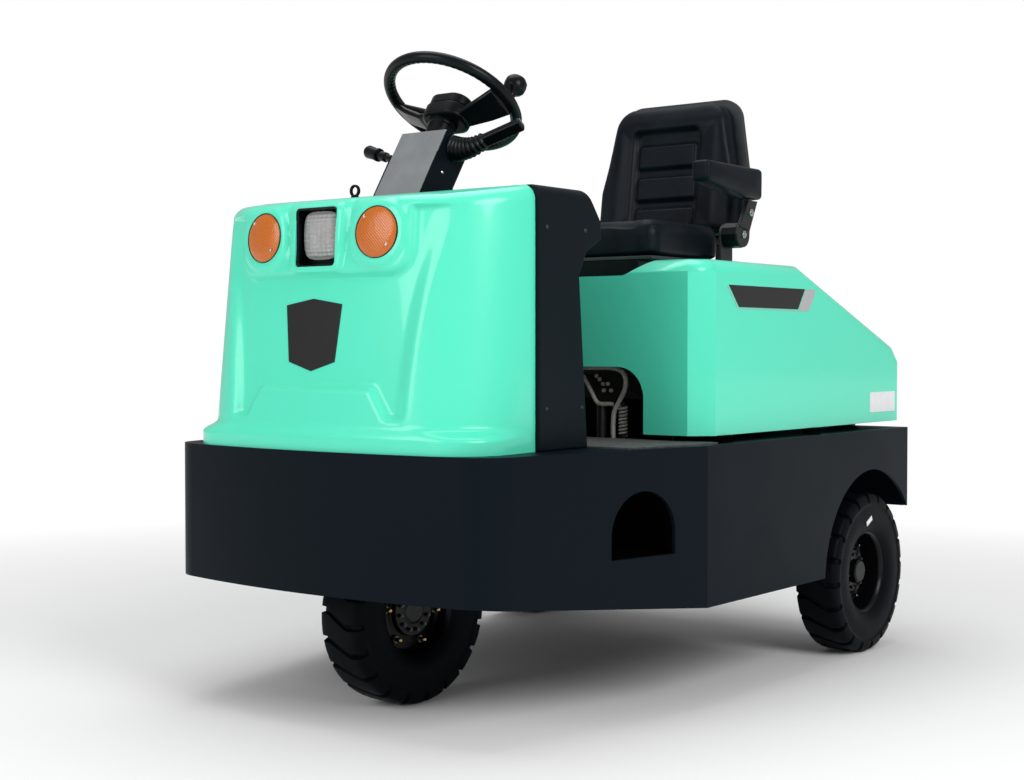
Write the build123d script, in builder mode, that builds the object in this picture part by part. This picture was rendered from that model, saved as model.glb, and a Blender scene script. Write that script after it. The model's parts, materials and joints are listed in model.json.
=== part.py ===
"""Airport baggage tug: a three-wheeled electric tow tractor, in millimetres.

The vehicle faces -Y, its left is +X and +Z is up. The origin is on the ground, at the
bottom centre of the bounding box. Places along the vehicle are given as stations: the
distance behind the line through the two front corners of the chassis.
"""
import os
from math import atan2, cos, sin, radians

from build123d import *

os.makedirs("parts", exist_ok=True)

# Chassis plates
front_half_width = 450.0
rear_half_width = 580.0
bend_station = 610.0
chassis_length = 1665.0
front_bow = 50.0
plate = 8.0
corner_radius = 100.0
deck_height = 577.0
front_clearance = 280.0
side_clearance = 222.0
rear_skirt_bottom = 365.0

# Wheels
tyre_radius = 207.5
tyre_width = 118.0
bead_radius = 102.0
flange_radius = 118.0
lug_count = 20
lug_gap = 12.0
lug_depth = 11.0
lug_reach = 30.0
rim_half_width = 47.0
rim_sheet = 6.0
front_wheel_station = 270.0
rear_axle_inset = 219.0
rear_wheel_inset = 3.0
arch_radius = 268.0
steer_rest_angle = -4.0

# Steering fork
fork_plate = 20.0
fork_gap = 16.0
crown_radius = 92.0
crown_over_tyre = 47.0
crown_clearance = 23.0
crown_thickness = 24.0
steerer_radius = 30.0
bearing_wall = 16.0
running_gap = 0.3
axle_radius = 22.0

# Frame under the deck
rail_spacing = 660.0
rail_width = 50.0
rail_height = 100.0
rail_wall = 5.0
cross_width = 60.0
axle_tube_radius = 38.0
gear_case_radius = 92.0
motor_radius = 74.0
motor_length = 270.0

# Foot steps in the side plates
step_station = 418.0
step_width = 186.0
step_bottom = 350.0
step_depth = 110.0
step_sheet = 4.0

# Front cowl and dash
cowl_half_width = 402.0
cowl_lean = 38.0
cowl_bow = 40.0
cowl_corner_station = 4.0
cowl_rear_station = 218.0
cowl_front_rise = 526.0
cowl_rear_rise = 550.0
cowl_corner_radius = 203.0
cowl_edge_radius = 32.0
cowl_wall = 5.0
cowl_run_out = 60.0
relief_depth = 14.0
relief_corner = 14.0
relief_bottom_rise = 57.0
relief_step_rise = 123.0
relief_top_drop = 38.0
relief_step_foot = 196.0
relief_step_half = 163.0
relief_low_half = 236.0
relief_high_half = 304.0
pod_half_width = 238.0
pod_drop = 76.0
foot_flare = 25.0
foot_flare_height = 44.0
foot_flare_station = 120.0
foot_corner_radius = 105.0
foot_chamfer = 8.0
dash_half_width = 412.0
dash_wall = 12.0
dash_edge_radius = 24.0
dash_top_station = 392.0
dash_brow_station = 444.0
dash_brow_drop = 65.0
dash_brow_height = 38.0
dash_knee_station = 391.0
dash_knee_drop = 131.0
dash_waist_station = 363.0
dash_waist_drop = 182.0
dash_foot_station = 394.0
lamp_spacing = 322.0
lamp_drop = 77.0
lamp_radius = 56.0
headlamp_width = 116.0
headlamp_height = 124.0
headlamp_drop = 4.0

# Steering wheel and column
column_tilt = 33.0
wheel_rim_radius = 155.0
wheel_rim_tube = 14.0
wheel_station = 440.0
wheel_rise = 228.0
column_half_width = 67.0
column_front = 44.0
column_back = 49.0
column_top_drop = 119.0
hub_radius = 40.0
hub_drop = 50.0
shaft_radius = 10.0
collar_radius = 30.0

# Rear hood
hood_half_width = 540.0
hood_front_station = 666.0
hood_overhang = 39.0
hood_clearance = 16.0
hood_height = 398.0
hood_seat_drop = 34.0
hood_slant_length = 546.0
hood_tail_length = 36.0
hood_tail_lower = 193.0
hood_tail_drop = 38.0
hood_wall = 5.0
hood_corner = 46.0
hood_rear_radius = 24.0
hood_edge_radius = 30.0
hood_arch_half_width = 376.0
hood_arch_height = 154.0
hood_arch_radius = 70.0
recess_floor_half = 322.0
recess_top_half = 398.0
recess_bend = 45.0
hinge_reach = 11.0
hinge_rise = 7.0
hinge_spacing = 760.0
hinge_radius = 9.0
hinge_pin_radius = 5.0
hinge_block = 40.0
leaf_gap = 5.0
leaf_ring = 14.0
leaf_height = 69.0

# Seat
seat_half_width = 232.0
seat_front_station = 945.0
seat_depth = 392.0
seat_base_height = 55.0
pan_sheet = 8.0
cushion_thickness = 86.0
back_station = 1337.0
back_rise = 127.0
back_height = 392.0
back_top_half_width = 178.0
back_lean = 8.0
back_pad_thickness = 58.0
shell_thickness = 14.0
soft_gap = 0.3

# Armrest
armrest_inner = 258.0
armrest_width = 58.0
armrest_front_station = 1060.0
armrest_rear_station = 1347.0
armrest_rise = 181.0
armrest_pivot_station = 1268.0
armrest_barrel_radius = 33.0
armrest_barrel_length = 48.0
armrest_bar = 12.0

# Battery
battery_half_width = 330.0
battery_front_station = 850.0
battery_rear_station = 1300.0
battery_height = 290.0

# Tow hitch
hitch_reach = 96.0
hitch_width = 80.0
hitch_plate = 12.0
hitch_pitch = 58.0
hitch_rise = 31.0
hitch_pin_radius = 12.5

rear_wheel_station = chassis_length - rear_axle_inset
hood_rear_station = chassis_length + hood_overhang
hood_tail_station = hood_rear_station - hood_tail_length
hood_slant_station = hood_tail_station - hood_slant_length
hinge_station = chassis_length + hinge_reach
overall_length = front_bow + chassis_length + hitch_reach
front = -overall_length / 2 + front_bow
cowl_top_front = deck_height + cowl_front_rise
cowl_top_rear = deck_height + cowl_rear_rise
lamp_height = cowl_top_front - lamp_drop
headlamp_z = lamp_height - headlamp_drop
wheel_height = cowl_top_rear + wheel_rise
hood_bottom = deck_height + hood_clearance
hood_top = hood_bottom + hood_height
hood_seat_top = hood_top - hood_seat_drop
hood_tail_height = hood_top - hood_tail_lower
hood_arch_top = hood_bottom + hood_arch_height
hinge_height = deck_height + hinge_rise
back_bottom = hood_seat_top + back_rise
back_top = back_bottom + back_height
armrest_top = back_bottom + armrest_rise
armrest_pivot_height = back_bottom + 1
hitch_bottom = rear_skirt_bottom + hitch_rise
crown_bottom = 2 * tyre_radius + crown_over_tyre


def at(station):
    """The Y of a station."""
    return front + station


front_axle_y = at(front_wheel_station)
rear_axle_y = at(rear_wheel_station)
rear_wheel_x = rear_half_width - rear_wheel_inset - tyre_width / 2
deck_underside = deck_height - plate
steer_frame = Plane(
    origin=(0, front_axle_y, 0),
    x_dir=(cos(radians(steer_rest_angle)), sin(radians(steer_rest_angle)), 0),
    z_dir=(0, 0, 1),
)
column_axis = Vector(0, sin(radians(column_tilt)), cos(radians(column_tilt)))
wheel_centre = Vector(0, at(wheel_station), wheel_height)


def steered(plane):
    """A plane given in the fork's own frame, placed as the fork stands at rest."""
    return Plane(steer_frame.location * plane.location)


def square_to_column(along):
    """The plane square to the steering column, at a distance along it from the steering wheel."""
    return Plane(origin=wheel_centre + column_axis * along, x_dir=(1, 0, 0), z_dir=column_axis)


def save(builder, name):
    """Label a finished piece and write its file."""
    builder.part.label = name
    export_step(builder.part, f"parts/{name}.step")


def block(x0, x1, y0, y1, z0, z1, mode=Mode.ADD):
    """A box between two corners, in the part that is being built."""
    with Locations(((x0 + x1) / 2, (y0 + y1) / 2, (z0 + z1) / 2)):
        Box(x1 - x0, y1 - y0, z1 - z0, mode=mode)


# Chassis plates: one wall round the plan, cut to its lower edge and split into its panels
def chassis_plan(inset):
    """The plan outline of the chassis, moved in by a distance."""
    with BuildSketch() as plan:
        with BuildLine():
            ThreePointArc(
                (-front_half_width, at(0)),
                (0, at(-front_bow)),
                (front_half_width, at(0)),
            )
            Polyline(
                (front_half_width, at(0)),
                (rear_half_width, at(bend_station)),
                (rear_half_width, at(chassis_length)),
                (-rear_half_width, at(chassis_length)),
                (-rear_half_width, at(bend_station)),
                (-front_half_width, at(0)),
            )
        make_face()
        corners = plan.vertices().filter_by(lambda v: abs(v.Y - at(0)) < 1)
        fillet(corners, corner_radius)
        if inset > 0:
            offset(amount=-inset, mode=Mode.REPLACE)
    return plan.sketch


def half_width_at(station):
    """Half the chassis width at a station."""
    share = min(max(station / bend_station, 0), 1)
    return front_half_width + (rear_half_width - front_half_width) * share


def step_profile(grow):
    """The round-topped foot-step hole seen from the side, larger all round by a distance."""
    half = step_width / 2 + grow
    springing = step_bottom + step_width / 4
    with BuildSketch() as profile:
        with BuildLine():
            Polyline(
                (at(step_station) - half, springing),
                (at(step_station) - half, step_bottom - grow),
                (at(step_station) + half, step_bottom - grow),
                (at(step_station) + half, springing),
            )
            ThreePointArc(
                (at(step_station) + half, springing),
                (at(step_station), springing + half),
                (at(step_station) - half, springing),
            )
        make_face()
    return profile.sketch


seam_station = corner_radius + 30
beyond = 2 * rear_half_width

with BuildPart() as skirt:
    with BuildSketch():
        add(chassis_plan(0))
        add(chassis_plan(plate), mode=Mode.SUBTRACT)
    extrude(amount=deck_height)
    with BuildSketch(Plane.YZ):
        with BuildLine():
            Polyline(
                (at(-2 * front_bow), -1),
                (at(-2 * front_bow), front_clearance),
                (at(0), front_clearance),
                (at(bend_station), side_clearance),
                (at(rear_wheel_station), side_clearance),
                (at(rear_wheel_station), rear_skirt_bottom),
                (at(chassis_length + 10), rear_skirt_bottom),
                (at(chassis_length + 10), -1),
                close=True,
            )
        make_face()
        with Locations((rear_axle_y, tyre_radius)):
            Circle(arch_radius)
    extrude(amount=beyond, both=True, mode=Mode.SUBTRACT)

with BuildPart() as skirt_front:
    add(skirt.part)
    block(-beyond, beyond, at(-2 * front_bow), at(seam_station), 0, 2 * deck_height, Mode.INTERSECT)
save(skirt_front, "skirt_front")

for side, sign in (("left", 1), ("right", -1)):
    with BuildPart() as skirt_side:
        add(skirt.part)
        block(
            min(0, sign * beyond),
            max(0, sign * beyond),
            at(seam_station),
            at(chassis_length),
            0,
            2 * deck_height,
            Mode.INTERSECT,
        )
        inner = rear_half_width - plate
        behind = at(chassis_length - 2 * plate)
        block(-inner, inner, behind, at(chassis_length), 0, 2 * deck_height, Mode.SUBTRACT)
        with BuildSketch(Plane.YZ):
            add(step_profile(0))
        extrude(amount=sign * beyond, mode=Mode.SUBTRACT)
    save(skirt_side, f"skirt_{side}")

with BuildPart() as rear_plate:
    inner = rear_half_width - plate
    block(-inner, inner, at(chassis_length - plate), at(chassis_length), rear_skirt_bottom, deck_height)
save(rear_plate, "rear_plate")

with BuildPart() as deck_plate:
    with BuildSketch(Plane.XY.offset(deck_underside)):
        add(chassis_plan(plate))
    extrude(amount=plate)
save(deck_plate, "deck_plate")

# Foot-step pockets: bent sheet welded behind the holes in the side plates
pocket_depth = half_width_at(step_station - step_width / 2) - plate - step_depth
with BuildPart() as step_pockets:
    for sign in (1, -1):
        pocket_back = sign * pocket_depth
        with BuildPart(mode=Mode.PRIVATE) as pocket:
            with BuildSketch(Plane.YZ.offset(pocket_back)):
                add(step_profile(step_sheet))
            extrude(amount=sign * beyond)
            with BuildSketch(Plane.YZ.offset(pocket_back + sign * step_sheet)):
                add(step_profile(0))
            extrude(amount=sign * beyond, mode=Mode.SUBTRACT)
            with BuildSketch():
                add(chassis_plan(plate))
            extrude(amount=deck_height, mode=Mode.INTERSECT)
        add(pocket.part)
save(step_pockets, "step_pockets")

# Frame rails: two box tubes welded under the deck
with BuildPart() as frame_rails:
    with BuildSketch(Plane.XZ.offset(-at(seam_station))):
        with Locations(
            (-rail_spacing / 2, deck_underside - rail_height / 2),
            (rail_spacing / 2, deck_underside - rail_height / 2),
        ):
            Rectangle(rail_width, rail_height)
            Rectangle(rail_width - 2 * rail_wall, rail_height - 2 * rail_wall, mode=Mode.SUBTRACT)
    extrude(amount=-(chassis_length - plate - seam_station))
save(frame_rails, "frame_rails")

# Cross members between the rails, the front one round the steering bearing
rail_inner = (rail_spacing - rail_width) / 2
bearing_radius = steerer_radius + running_gap + bearing_wall
crown_top = crown_bottom + crown_thickness
cross_height = deck_underside - crown_top - crown_clearance
member_stations = (front_wheel_station, bend_station, rear_wheel_station - arch_radius)
with BuildPart() as cross_members:
    for station in member_stations:
        block(
            -rail_inner,
            rail_inner,
            at(station) - cross_width / 2,
            at(station) + cross_width / 2,
            deck_underside - cross_height,
            deck_underside,
        )
    with BuildSketch(Plane.XY.offset(deck_underside)):
        with Locations((0, front_axle_y)):
            Circle(2 * bearing_radius)
    extrude(amount=-cross_height)
    with BuildSketch(Plane.XY.offset(deck_underside)):
        with Locations((0, front_axle_y)):
            Circle(bearing_radius)
    extrude(amount=-cross_height, mode=Mode.SUBTRACT)
save(cross_members, "cross_members")

with BuildPart() as steering_bearing:
    with BuildSketch(Plane.XY.offset(crown_top + running_gap)):
        with Locations((0, front_axle_y)):
            Circle(bearing_radius)
            Circle(steerer_radius + running_gap, mode=Mode.SUBTRACT)
    extrude(amount=deck_underside - crown_top - running_gap)
save(steering_bearing, "steering_bearing")

# Steering fork: a crown under the bearing and one leg on the right of the wheel
leg_inner = tyre_width / 2 + fork_gap
leg_middle = -(leg_inner + fork_plate / 2)
with BuildPart() as steer_fork:
    with BuildSketch(steered(Plane.XY.offset(crown_bottom))):
        Circle(crown_radius + fork_plate / 2)
    extrude(amount=crown_thickness)
    with BuildSketch(steered(Plane.XY.offset(crown_top))):
        Circle(steerer_radius)
    extrude(amount=deck_underside - crown_top - 5)
    with BuildSketch(steered(Plane.YZ.offset(-leg_inner))):
        with BuildLine():
            Polyline(
                (-crown_radius * 0.7, crown_bottom),
                (-axle_radius * 1.9, tyre_radius),
            )
            ThreePointArc(
                (-axle_radius * 1.9, tyre_radius),
                (0, tyre_radius - axle_radius * 1.9),
                (axle_radius * 1.9, tyre_radius),
            )
            Polyline(
                (axle_radius * 1.9, tyre_radius),
                (crown_radius * 0.7, crown_bottom),
                (-crown_radius * 0.7, crown_bottom),
            )
        make_face()
    extrude(amount=-fork_plate)
    with BuildSketch(steered(Plane.YZ.offset(-leg_inner))):
        with Locations((0, tyre_radius)):
            Circle(axle_radius)
    extrude(amount=leg_inner + rim_half_width / 2)
save(steer_fork, "steer_fork")


# Wheels: a rim with its hub and disc, and a tyre, each turned about the axle
def rim_section(disc_at, hub_inner, hub_outer):
    """Half section of a rim: X along the axle outwards, Y the radius."""
    bore = axle_radius + running_gap
    hub = axle_radius + 16
    lip = rim_half_width - rim_sheet
    barrel = bead_radius - rim_sheet
    with BuildSketch() as section:
        with BuildLine():
            Polyline(
                (-rim_half_width, barrel),
                (-rim_half_width, flange_radius),
                (-lip, flange_radius),
                (-lip, bead_radius),
                (lip, bead_radius),
                (lip, flange_radius),
                (rim_half_width, flange_radius),
                (rim_half_width, barrel),
                (disc_at + rim_sheet, barrel),
                (disc_at + 2 * rim_sheet, hub + 20),
                (disc_at + 2 * rim_sheet, hub),
                (hub_outer, hub),
                (hub_outer, 0),
                (hub_outer - rim_sheet, 0),
                (hub_outer - rim_sheet, bore),
                (hub_inner, bore),
                (hub_inner, hub),
                (disc_at, hub),
                (disc_at, hub + 20),
                (disc_at - rim_sheet, barrel),
                close=True,
            )
        make_face()
    return section.sketch


def lugged_tyre():
    """A tyre about the X axis: square shoulders, cut into lugs on both sides by half a pitch."""
    seat = bead_radius + running_gap
    lip = rim_half_width - rim_sheet - running_gap
    half = tyre_width / 2
    with BuildPart() as tyre:
        with BuildSketch():
            with BuildLine():
                Polyline(
                    (-lip, seat),
                    (lip, seat),
                    (lip, flange_radius + 4),
                    (half - 6, flange_radius + 8),
                    (half, flange_radius + 30),
                    (half, tyre_radius - 32),
                    (half - 3, tyre_radius - 10),
                    (half - 12, tyre_radius - 3),
                    (0, tyre_radius),
                    (-half + 12, tyre_radius - 3),
                    (-half + 3, tyre_radius - 10),
                    (-half, tyre_radius - 32),
                    (-half, flange_radius + 30),
                    (-half + 6, flange_radius + 8),
                    (-lip, flange_radius + 4),
                    close=True,
                )
            make_face()
        revolve(axis=Axis.X)
        for side in (1, -1):
            for index in range(lug_count):
                turn = 360 / lug_count * (index + 0.25 * side)
                with Locations(Location((side * half, 0, 0), (turn, 0, 0))):
                    with Locations((0, 0, tyre_radius)):
                        Box(2 * lug_reach, lug_gap, 2 * lug_depth, mode=Mode.SUBTRACT)
    return tyre.part


def turned_about(hub_plane, section):
    """A section turned about the axle; the plane's X runs outwards along the axle."""
    with BuildPart() as wheel_piece:
        add(hub_plane * section)
        revolve(axis=Axis(hub_plane.origin, hub_plane.x_dir))
    return wheel_piece


front_hub = steered(Plane(origin=(0, 0, tyre_radius), x_dir=(1, 0, 0), z_dir=(0, -1, 0)))
left_hub = Plane(origin=(rear_wheel_x, rear_axle_y, tyre_radius), x_dir=(1, 0, 0), z_dir=(0, -1, 0))
right_hub = Plane(origin=(-rear_wheel_x, rear_axle_y, tyre_radius), x_dir=(-1, 0, 0), z_dir=(0, 1, 0))
hub_end = rim_half_width / 2 + running_gap + rim_sheet
tyre_at_origin = lugged_tyre()
for name, hub_plane, disc_at in (
    ("front", front_hub, 6.0),
    ("rear_left", left_hub, -20.0),
    ("rear_right", right_hub, -20.0),
):
    rim = turned_about(hub_plane, rim_section(disc_at, -rim_half_width, hub_end))
    save(rim, f"{name}_rim")
    with BuildPart() as tyre:
        add(hub_plane.location * tyre_at_origin)
    save(tyre, f"{name}_tyre")

# Rear axle: a tube with the gear case in the middle and a spindle at each end
flange_inner = rear_wheel_x - rim_half_width - running_gap
with BuildPart() as rear_axle:
    with BuildSketch(Plane(origin=(0, rear_axle_y, tyre_radius), x_dir=(1, 0, 0), z_dir=(0, -1, 0))):
        with BuildLine():
            Polyline(
                (-rear_wheel_x - rim_half_width / 2, 0),
                (-rear_wheel_x - rim_half_width / 2, axle_radius),
                (-flange_inner, axle_radius),
                (-flange_inner, 1.4 * axle_tube_radius),
                (-flange_inner + 14, 1.4 * axle_tube_radius),
                (-flange_inner + 14, axle_tube_radius),
                (-1.6 * gear_case_radius, axle_tube_radius),
                (-0.7 * gear_case_radius, gear_case_radius),
                (0.7 * gear_case_radius, gear_case_radius),
                (1.6 * gear_case_radius, axle_tube_radius),
                (flange_inner - 14, axle_tube_radius),
                (flange_inner - 14, 1.4 * axle_tube_radius),
                (flange_inner, 1.4 * axle_tube_radius),
                (flange_inner, axle_radius),
                (rear_wheel_x + rim_half_width / 2, axle_radius),
                (rear_wheel_x + rim_half_width / 2, 0),
                close=True,
            )
        make_face()
    revolve(axis=Axis((0, rear_axle_y, tyre_radius), (1, 0, 0)))
save(rear_axle, "rear_axle")

with BuildPart() as drive_motor:
    with BuildSketch(Plane.XZ.offset(-rear_axle_y + gear_case_radius)):
        with Locations((0, tyre_radius)):
            Circle(motor_radius)
    extrude(amount=motor_length)
    fillet(drive_motor.faces().sort_by(Axis.Y)[0].edges(), 12)
save(drive_motor, "drive_motor")

# Brackets that hang the axle from the rails
with BuildPart() as axle_brackets:
    for sign in (1, -1):
        middle = sign * rail_spacing / 2
        with BuildSketch(Plane.YZ.offset(middle)):
            with BuildLine():
                Polyline(
                    (rear_axle_y - 90, deck_underside - rail_height),
                    (rear_axle_y - axle_tube_radius - 14, tyre_radius),
                    (rear_axle_y - axle_tube_radius - 14, tyre_radius - axle_tube_radius - 10),
                    (rear_axle_y + axle_tube_radius + 14, tyre_radius - axle_tube_radius - 10),
                    (rear_axle_y + axle_tube_radius + 14, tyre_radius),
                    (rear_axle_y + 90, deck_underside - rail_height),
                    close=True,
                )
            make_face()
            with Locations((rear_axle_y, tyre_radius)):
                Circle(axle_tube_radius, mode=Mode.SUBTRACT)
        extrude(amount=plate, both=True)
save(axle_brackets, "axle_brackets")

# Floor mat in the footwell
mat_front = cowl_rear_station + dash_wall + 5
with BuildPart() as floor_mat:
    with BuildSketch(Plane.XY.offset(deck_height)):
        with BuildLine():
            narrow = dash_half_width - dash_wall - 3
            wide_front = half_width_at(dash_foot_station) - 22
            wide_rear = half_width_at(bend_station) - 22
            Polyline(
                (-narrow, at(mat_front)),
                (narrow, at(mat_front)),
                (narrow, at(dash_foot_station + 6)),
                (wide_front, at(dash_foot_station + 6)),
                (wide_rear, at(bend_station)),
                (wide_rear, at(hood_front_station + 25)),
                (-wide_rear, at(hood_front_station + 25)),
                (-wide_rear, at(bend_station)),
                (-wide_front, at(dash_foot_station + 6)),
                (-narrow, at(dash_foot_station + 6)),
                close=True,
            )
        make_face()
    extrude(amount=3.5)
save(floor_mat, "floor_mat")


# Front cowl: a bowed front that leans back, with a sunk panel and a flared foot
cowl_lean_angle = atan2(cowl_lean, cowl_rear_rise)
cowl_frame = Plane(
    origin=(0, at(cowl_corner_station), deck_height),
    x_dir=(1, 0, 0),
    z_dir=(0, sin(cowl_lean_angle), cos(cowl_lean_angle)),
)
cowl_top_slope = (cowl_rear_rise - cowl_front_rise) / (cowl_rear_station - cowl_corner_station - cowl_lean)
before_cowl = -3 * cowl_bow
behind_cowl = cowl_rear_station + 3 * cowl_run_out


def cowl_body(side, top):
    """The plain form of the cowl, moved in at its sides and its top; it runs out at the rear."""
    half = cowl_half_width - side
    rear = cowl_rear_station + cowl_run_out
    start_drop = cowl_top_slope * (cowl_corner_station + cowl_lean - before_cowl)
    end_rise = cowl_top_slope * (behind_cowl - cowl_rear_station)
    with BuildPart(mode=Mode.PRIVATE) as body:
        with BuildSketch(cowl_frame.offset(-foot_flare)) as plan:
            with BuildLine():
                ThreePointArc((-half, side), (0, side - cowl_bow), (half, side))
                Polyline((half, side), (half, rear), (-half, rear), (-half, side))
            make_face()
            fillet(plan.vertices().group_by(Axis.Y)[0], cowl_corner_radius - side)
        extrude(amount=2 * cowl_rear_rise)
        with BuildSketch(Plane.YZ):
            with BuildLine():
                Polyline(
                    (at(before_cowl), cowl_top_front - top - start_drop),
                    (at(behind_cowl), cowl_top_rear - top + end_rise),
                    (at(behind_cowl), 3 * cowl_top_rear),
                    (at(before_cowl), 3 * cowl_top_rear),
                    close=True,
                )
            make_face()
        extrude(amount=beyond, both=True, mode=Mode.SUBTRACT)
        block(-beyond, beyond, -beyond, beyond, -beyond, deck_height - side, Mode.SUBTRACT)
        if not side:
            rim = body.edges().filter_by(
                lambda e: e.center().Z > cowl_top_front - 60 and e.bounding_box().size.Z < 40
            )
            fillet(rim.filter_by(lambda e: e.center().Y < at(rear) - 10), cowl_edge_radius)
    return body.part


def relief_outline():
    """The sunk panel seen from the front: round the lamps above and the foot's step below."""
    bottom = deck_height + relief_bottom_rise
    top = cowl_top_front - relief_top_drop
    step = deck_height + relief_step_rise
    with BuildSketch(Plane.XZ) as outline:
        with BuildLine():
            Polyline(
                (relief_step_foot, bottom),
                (relief_low_half, bottom),
                (relief_high_half, top),
                (pod_half_width, top),
                (pod_half_width, lamp_height - pod_drop),
                (-pod_half_width, lamp_height - pod_drop),
                (-pod_half_width, top),
                (-relief_high_half, top),
                (-relief_low_half, bottom),
                (-relief_step_foot, bottom),
                (-relief_step_half, step),
                (relief_step_half, step),
                close=True,
            )
        make_face()
        fillet(outline.vertices(), relief_corner)
    return outline.sketch


with BuildPart() as front_cowl:
    plain_cowl = cowl_body(0, 0)
    add(plain_cowl)
    with BuildSketch(Plane.XZ):
        add(relief_outline())
    extrude(amount=beyond, mode=Mode.SUBTRACT)
    with BuildPart(mode=Mode.PRIVATE) as sunk_panel:
        add(Pos(0, relief_depth, 0) * plain_cowl)
        with BuildSketch(Plane.XZ):
            add(relief_outline())
        extrude(amount=beyond, mode=Mode.INTERSECT)
    add(sunk_panel.part)
    with BuildPart(mode=Mode.PRIVATE) as foot:
        half = cowl_half_width + foot_flare
        with BuildSketch(Plane.XY.offset(deck_height)) as plan:
            with BuildLine():
                ThreePointArc((-half, at(0)), (0, at(-cowl_bow)), (half, at(0)))
                Polyline(
                    (half, at(0)),
                    (half, at(foot_flare_station)),
                    (cowl_half_width, at(cowl_rear_station)),
                    (cowl_half_width, at(behind_cowl)),
                    (-cowl_half_width, at(behind_cowl)),
                    (-cowl_half_width, at(cowl_rear_station)),
                    (-half, at(foot_flare_station)),
                    (-half, at(0)),
                )
            make_face()
            fillet(plan.vertices().filter_by(lambda v: abs(v.Y - at(0)) < 1), foot_corner_radius)
        extrude(amount=foot_flare_height)
        top_edges = foot.faces().sort_by(Axis.Z)[-1].edges()
        chamfer(top_edges.filter_by(lambda e: e.center().Y < at(cowl_rear_station) - 10), foot_chamfer)
    add(foot.part)
    with BuildPart(mode=Mode.PRIVATE) as inside:
        add(cowl_body(cowl_wall, 0.75 * cowl_edge_radius))
        add(cowl_body(0.75 * cowl_edge_radius, cowl_wall))
    add(Pos(0, relief_depth, 0) * inside.part, mode=Mode.SUBTRACT)
    block(-beyond, beyond, at(cowl_rear_station), beyond, 0, 2 * cowl_top_rear, Mode.SUBTRACT)
    for sign in (1, -1):
        with BuildSketch(Plane.XZ):
            with Locations((sign * lamp_spacing / 2, lamp_height)):
                Circle(lamp_radius + running_gap)
        extrude(amount=beyond, mode=Mode.SUBTRACT)
    with BuildSketch(Plane.XZ):
        with Locations((0, headlamp_z)):
            Rectangle(headlamp_width + 2 * running_gap, headlamp_height + 2 * running_gap)
    extrude(amount=beyond, mode=Mode.SUBTRACT)
save(front_cowl, "front_cowl")

# Dash and leg shield: a moulding with a wing each side of the footwell, open to the driver
dash_roof = dash_edge_radius + 3
with BuildPart() as dash_panel:
    with BuildSketch(Plane.YZ):
        with BuildLine():
            Polyline(
                (at(cowl_rear_station), deck_height),
                (at(cowl_rear_station), cowl_top_rear),
                (at(dash_top_station), cowl_top_rear),
                (at(dash_brow_station), cowl_top_rear - dash_brow_drop),
                (at(dash_brow_station), cowl_top_rear - dash_brow_drop - dash_brow_height),
                (at(dash_knee_station), cowl_top_rear - dash_knee_drop),
                (at(dash_waist_station), cowl_top_rear - dash_waist_drop),
                (at(dash_foot_station), deck_height),
                close=True,
            )
        make_face()
    extrude(amount=dash_half_width, both=True)
    top_sides = dash_panel.edges().filter_by(
        lambda e: abs(abs(e.center().X) - dash_half_width) < 1 and e.center().Z > cowl_top_rear - 1
    )
    fillet(top_sides, dash_edge_radius)
    inner = dash_half_width - dash_wall
    block(
        -inner,
        inner,
        at(cowl_rear_station + dash_wall),
        at(cowl_rear_station + 400),
        0,
        cowl_top_rear - dash_roof,
        Mode.SUBTRACT,
    )
save(dash_panel, "dash_panel")

# Steering column: a square cover, a round collar and the controls on it
with BuildPart() as column_cover:
    with BuildSketch(square_to_column(-column_top_drop)):
        with Locations((0, (column_back - column_front) / 2)):
            RectangleRounded(2 * column_half_width, column_front + column_back, 6)
    extrude(amount=-(wheel_height - cowl_top_rear) / column_axis.Z)
    block(-beyond, beyond, -beyond, beyond, cowl_top_rear, 2 * wheel_height, Mode.INTERSECT)
save(column_cover, "column_cover")

with BuildPart() as column_collar:
    with BuildSketch(square_to_column(-column_top_drop)):
        Circle(collar_radius)
        Circle(shaft_radius + running_gap, mode=Mode.SUBTRACT)
    extrude(amount=column_top_drop - hub_drop - running_gap)
save(column_collar, "column_collar")

lever_drop = 137.0
lever_tip_drop = 86.0
lever_reach = 238.0
boot_radius = 29.0
boot_length = 42.0
boot_ribs = 5
stalk_drop = 122.0
stalk_reach = 208.0
side_of_column = Plane(origin=wheel_centre, x_dir=(1, 0, 0), z_dir=column_axis.cross(Vector(1, 0, 0)))


def on_column(across, drop):
    """A point beside the column, as local X and Y in the plane through the column axis."""
    return (across, drop) if side_of_column.y_dir.dot(column_axis) > 0 else (across, -drop)


with BuildPart() as direction_lever:
    with BuildSketch(side_of_column):
        rib = boot_length / boot_ribs
        points = [on_column(column_half_width, -lever_drop)]
        for index in range(boot_ribs):
            radius = boot_radius - 2.2 * index
            start = column_half_width + index * rib
            points.append(on_column(start, radius - lever_drop))
            points.append(on_column(start + 0.6 * rib, radius - lever_drop))
            points.append(on_column(start + 0.8 * rib, radius - 3.5 - lever_drop))
        points.append(on_column(column_half_width + boot_length, -lever_drop))
        with BuildLine():
            Polyline(points, close=True)
        make_face()
    revolve(axis=Axis(wheel_centre - column_axis * lever_drop, (1, 0, 0)))
    with BuildSketch(side_of_column):
        base = column_half_width + boot_length - 4
        with BuildLine():
            Polyline(
                on_column(base, 8 - lever_drop),
                on_column(lever_reach, 4 - lever_tip_drop),
                on_column(lever_reach, -7 - lever_tip_drop),
                on_column(base, -8 - lever_drop),
                close=True,
            )
        make_face()
    extrude(amount=13, both=True)
    fillet(direction_lever.edges().filter_by(lambda e: e.center().X > lever_reach - 1), 2.5)
save(direction_lever, "direction_lever")

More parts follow.
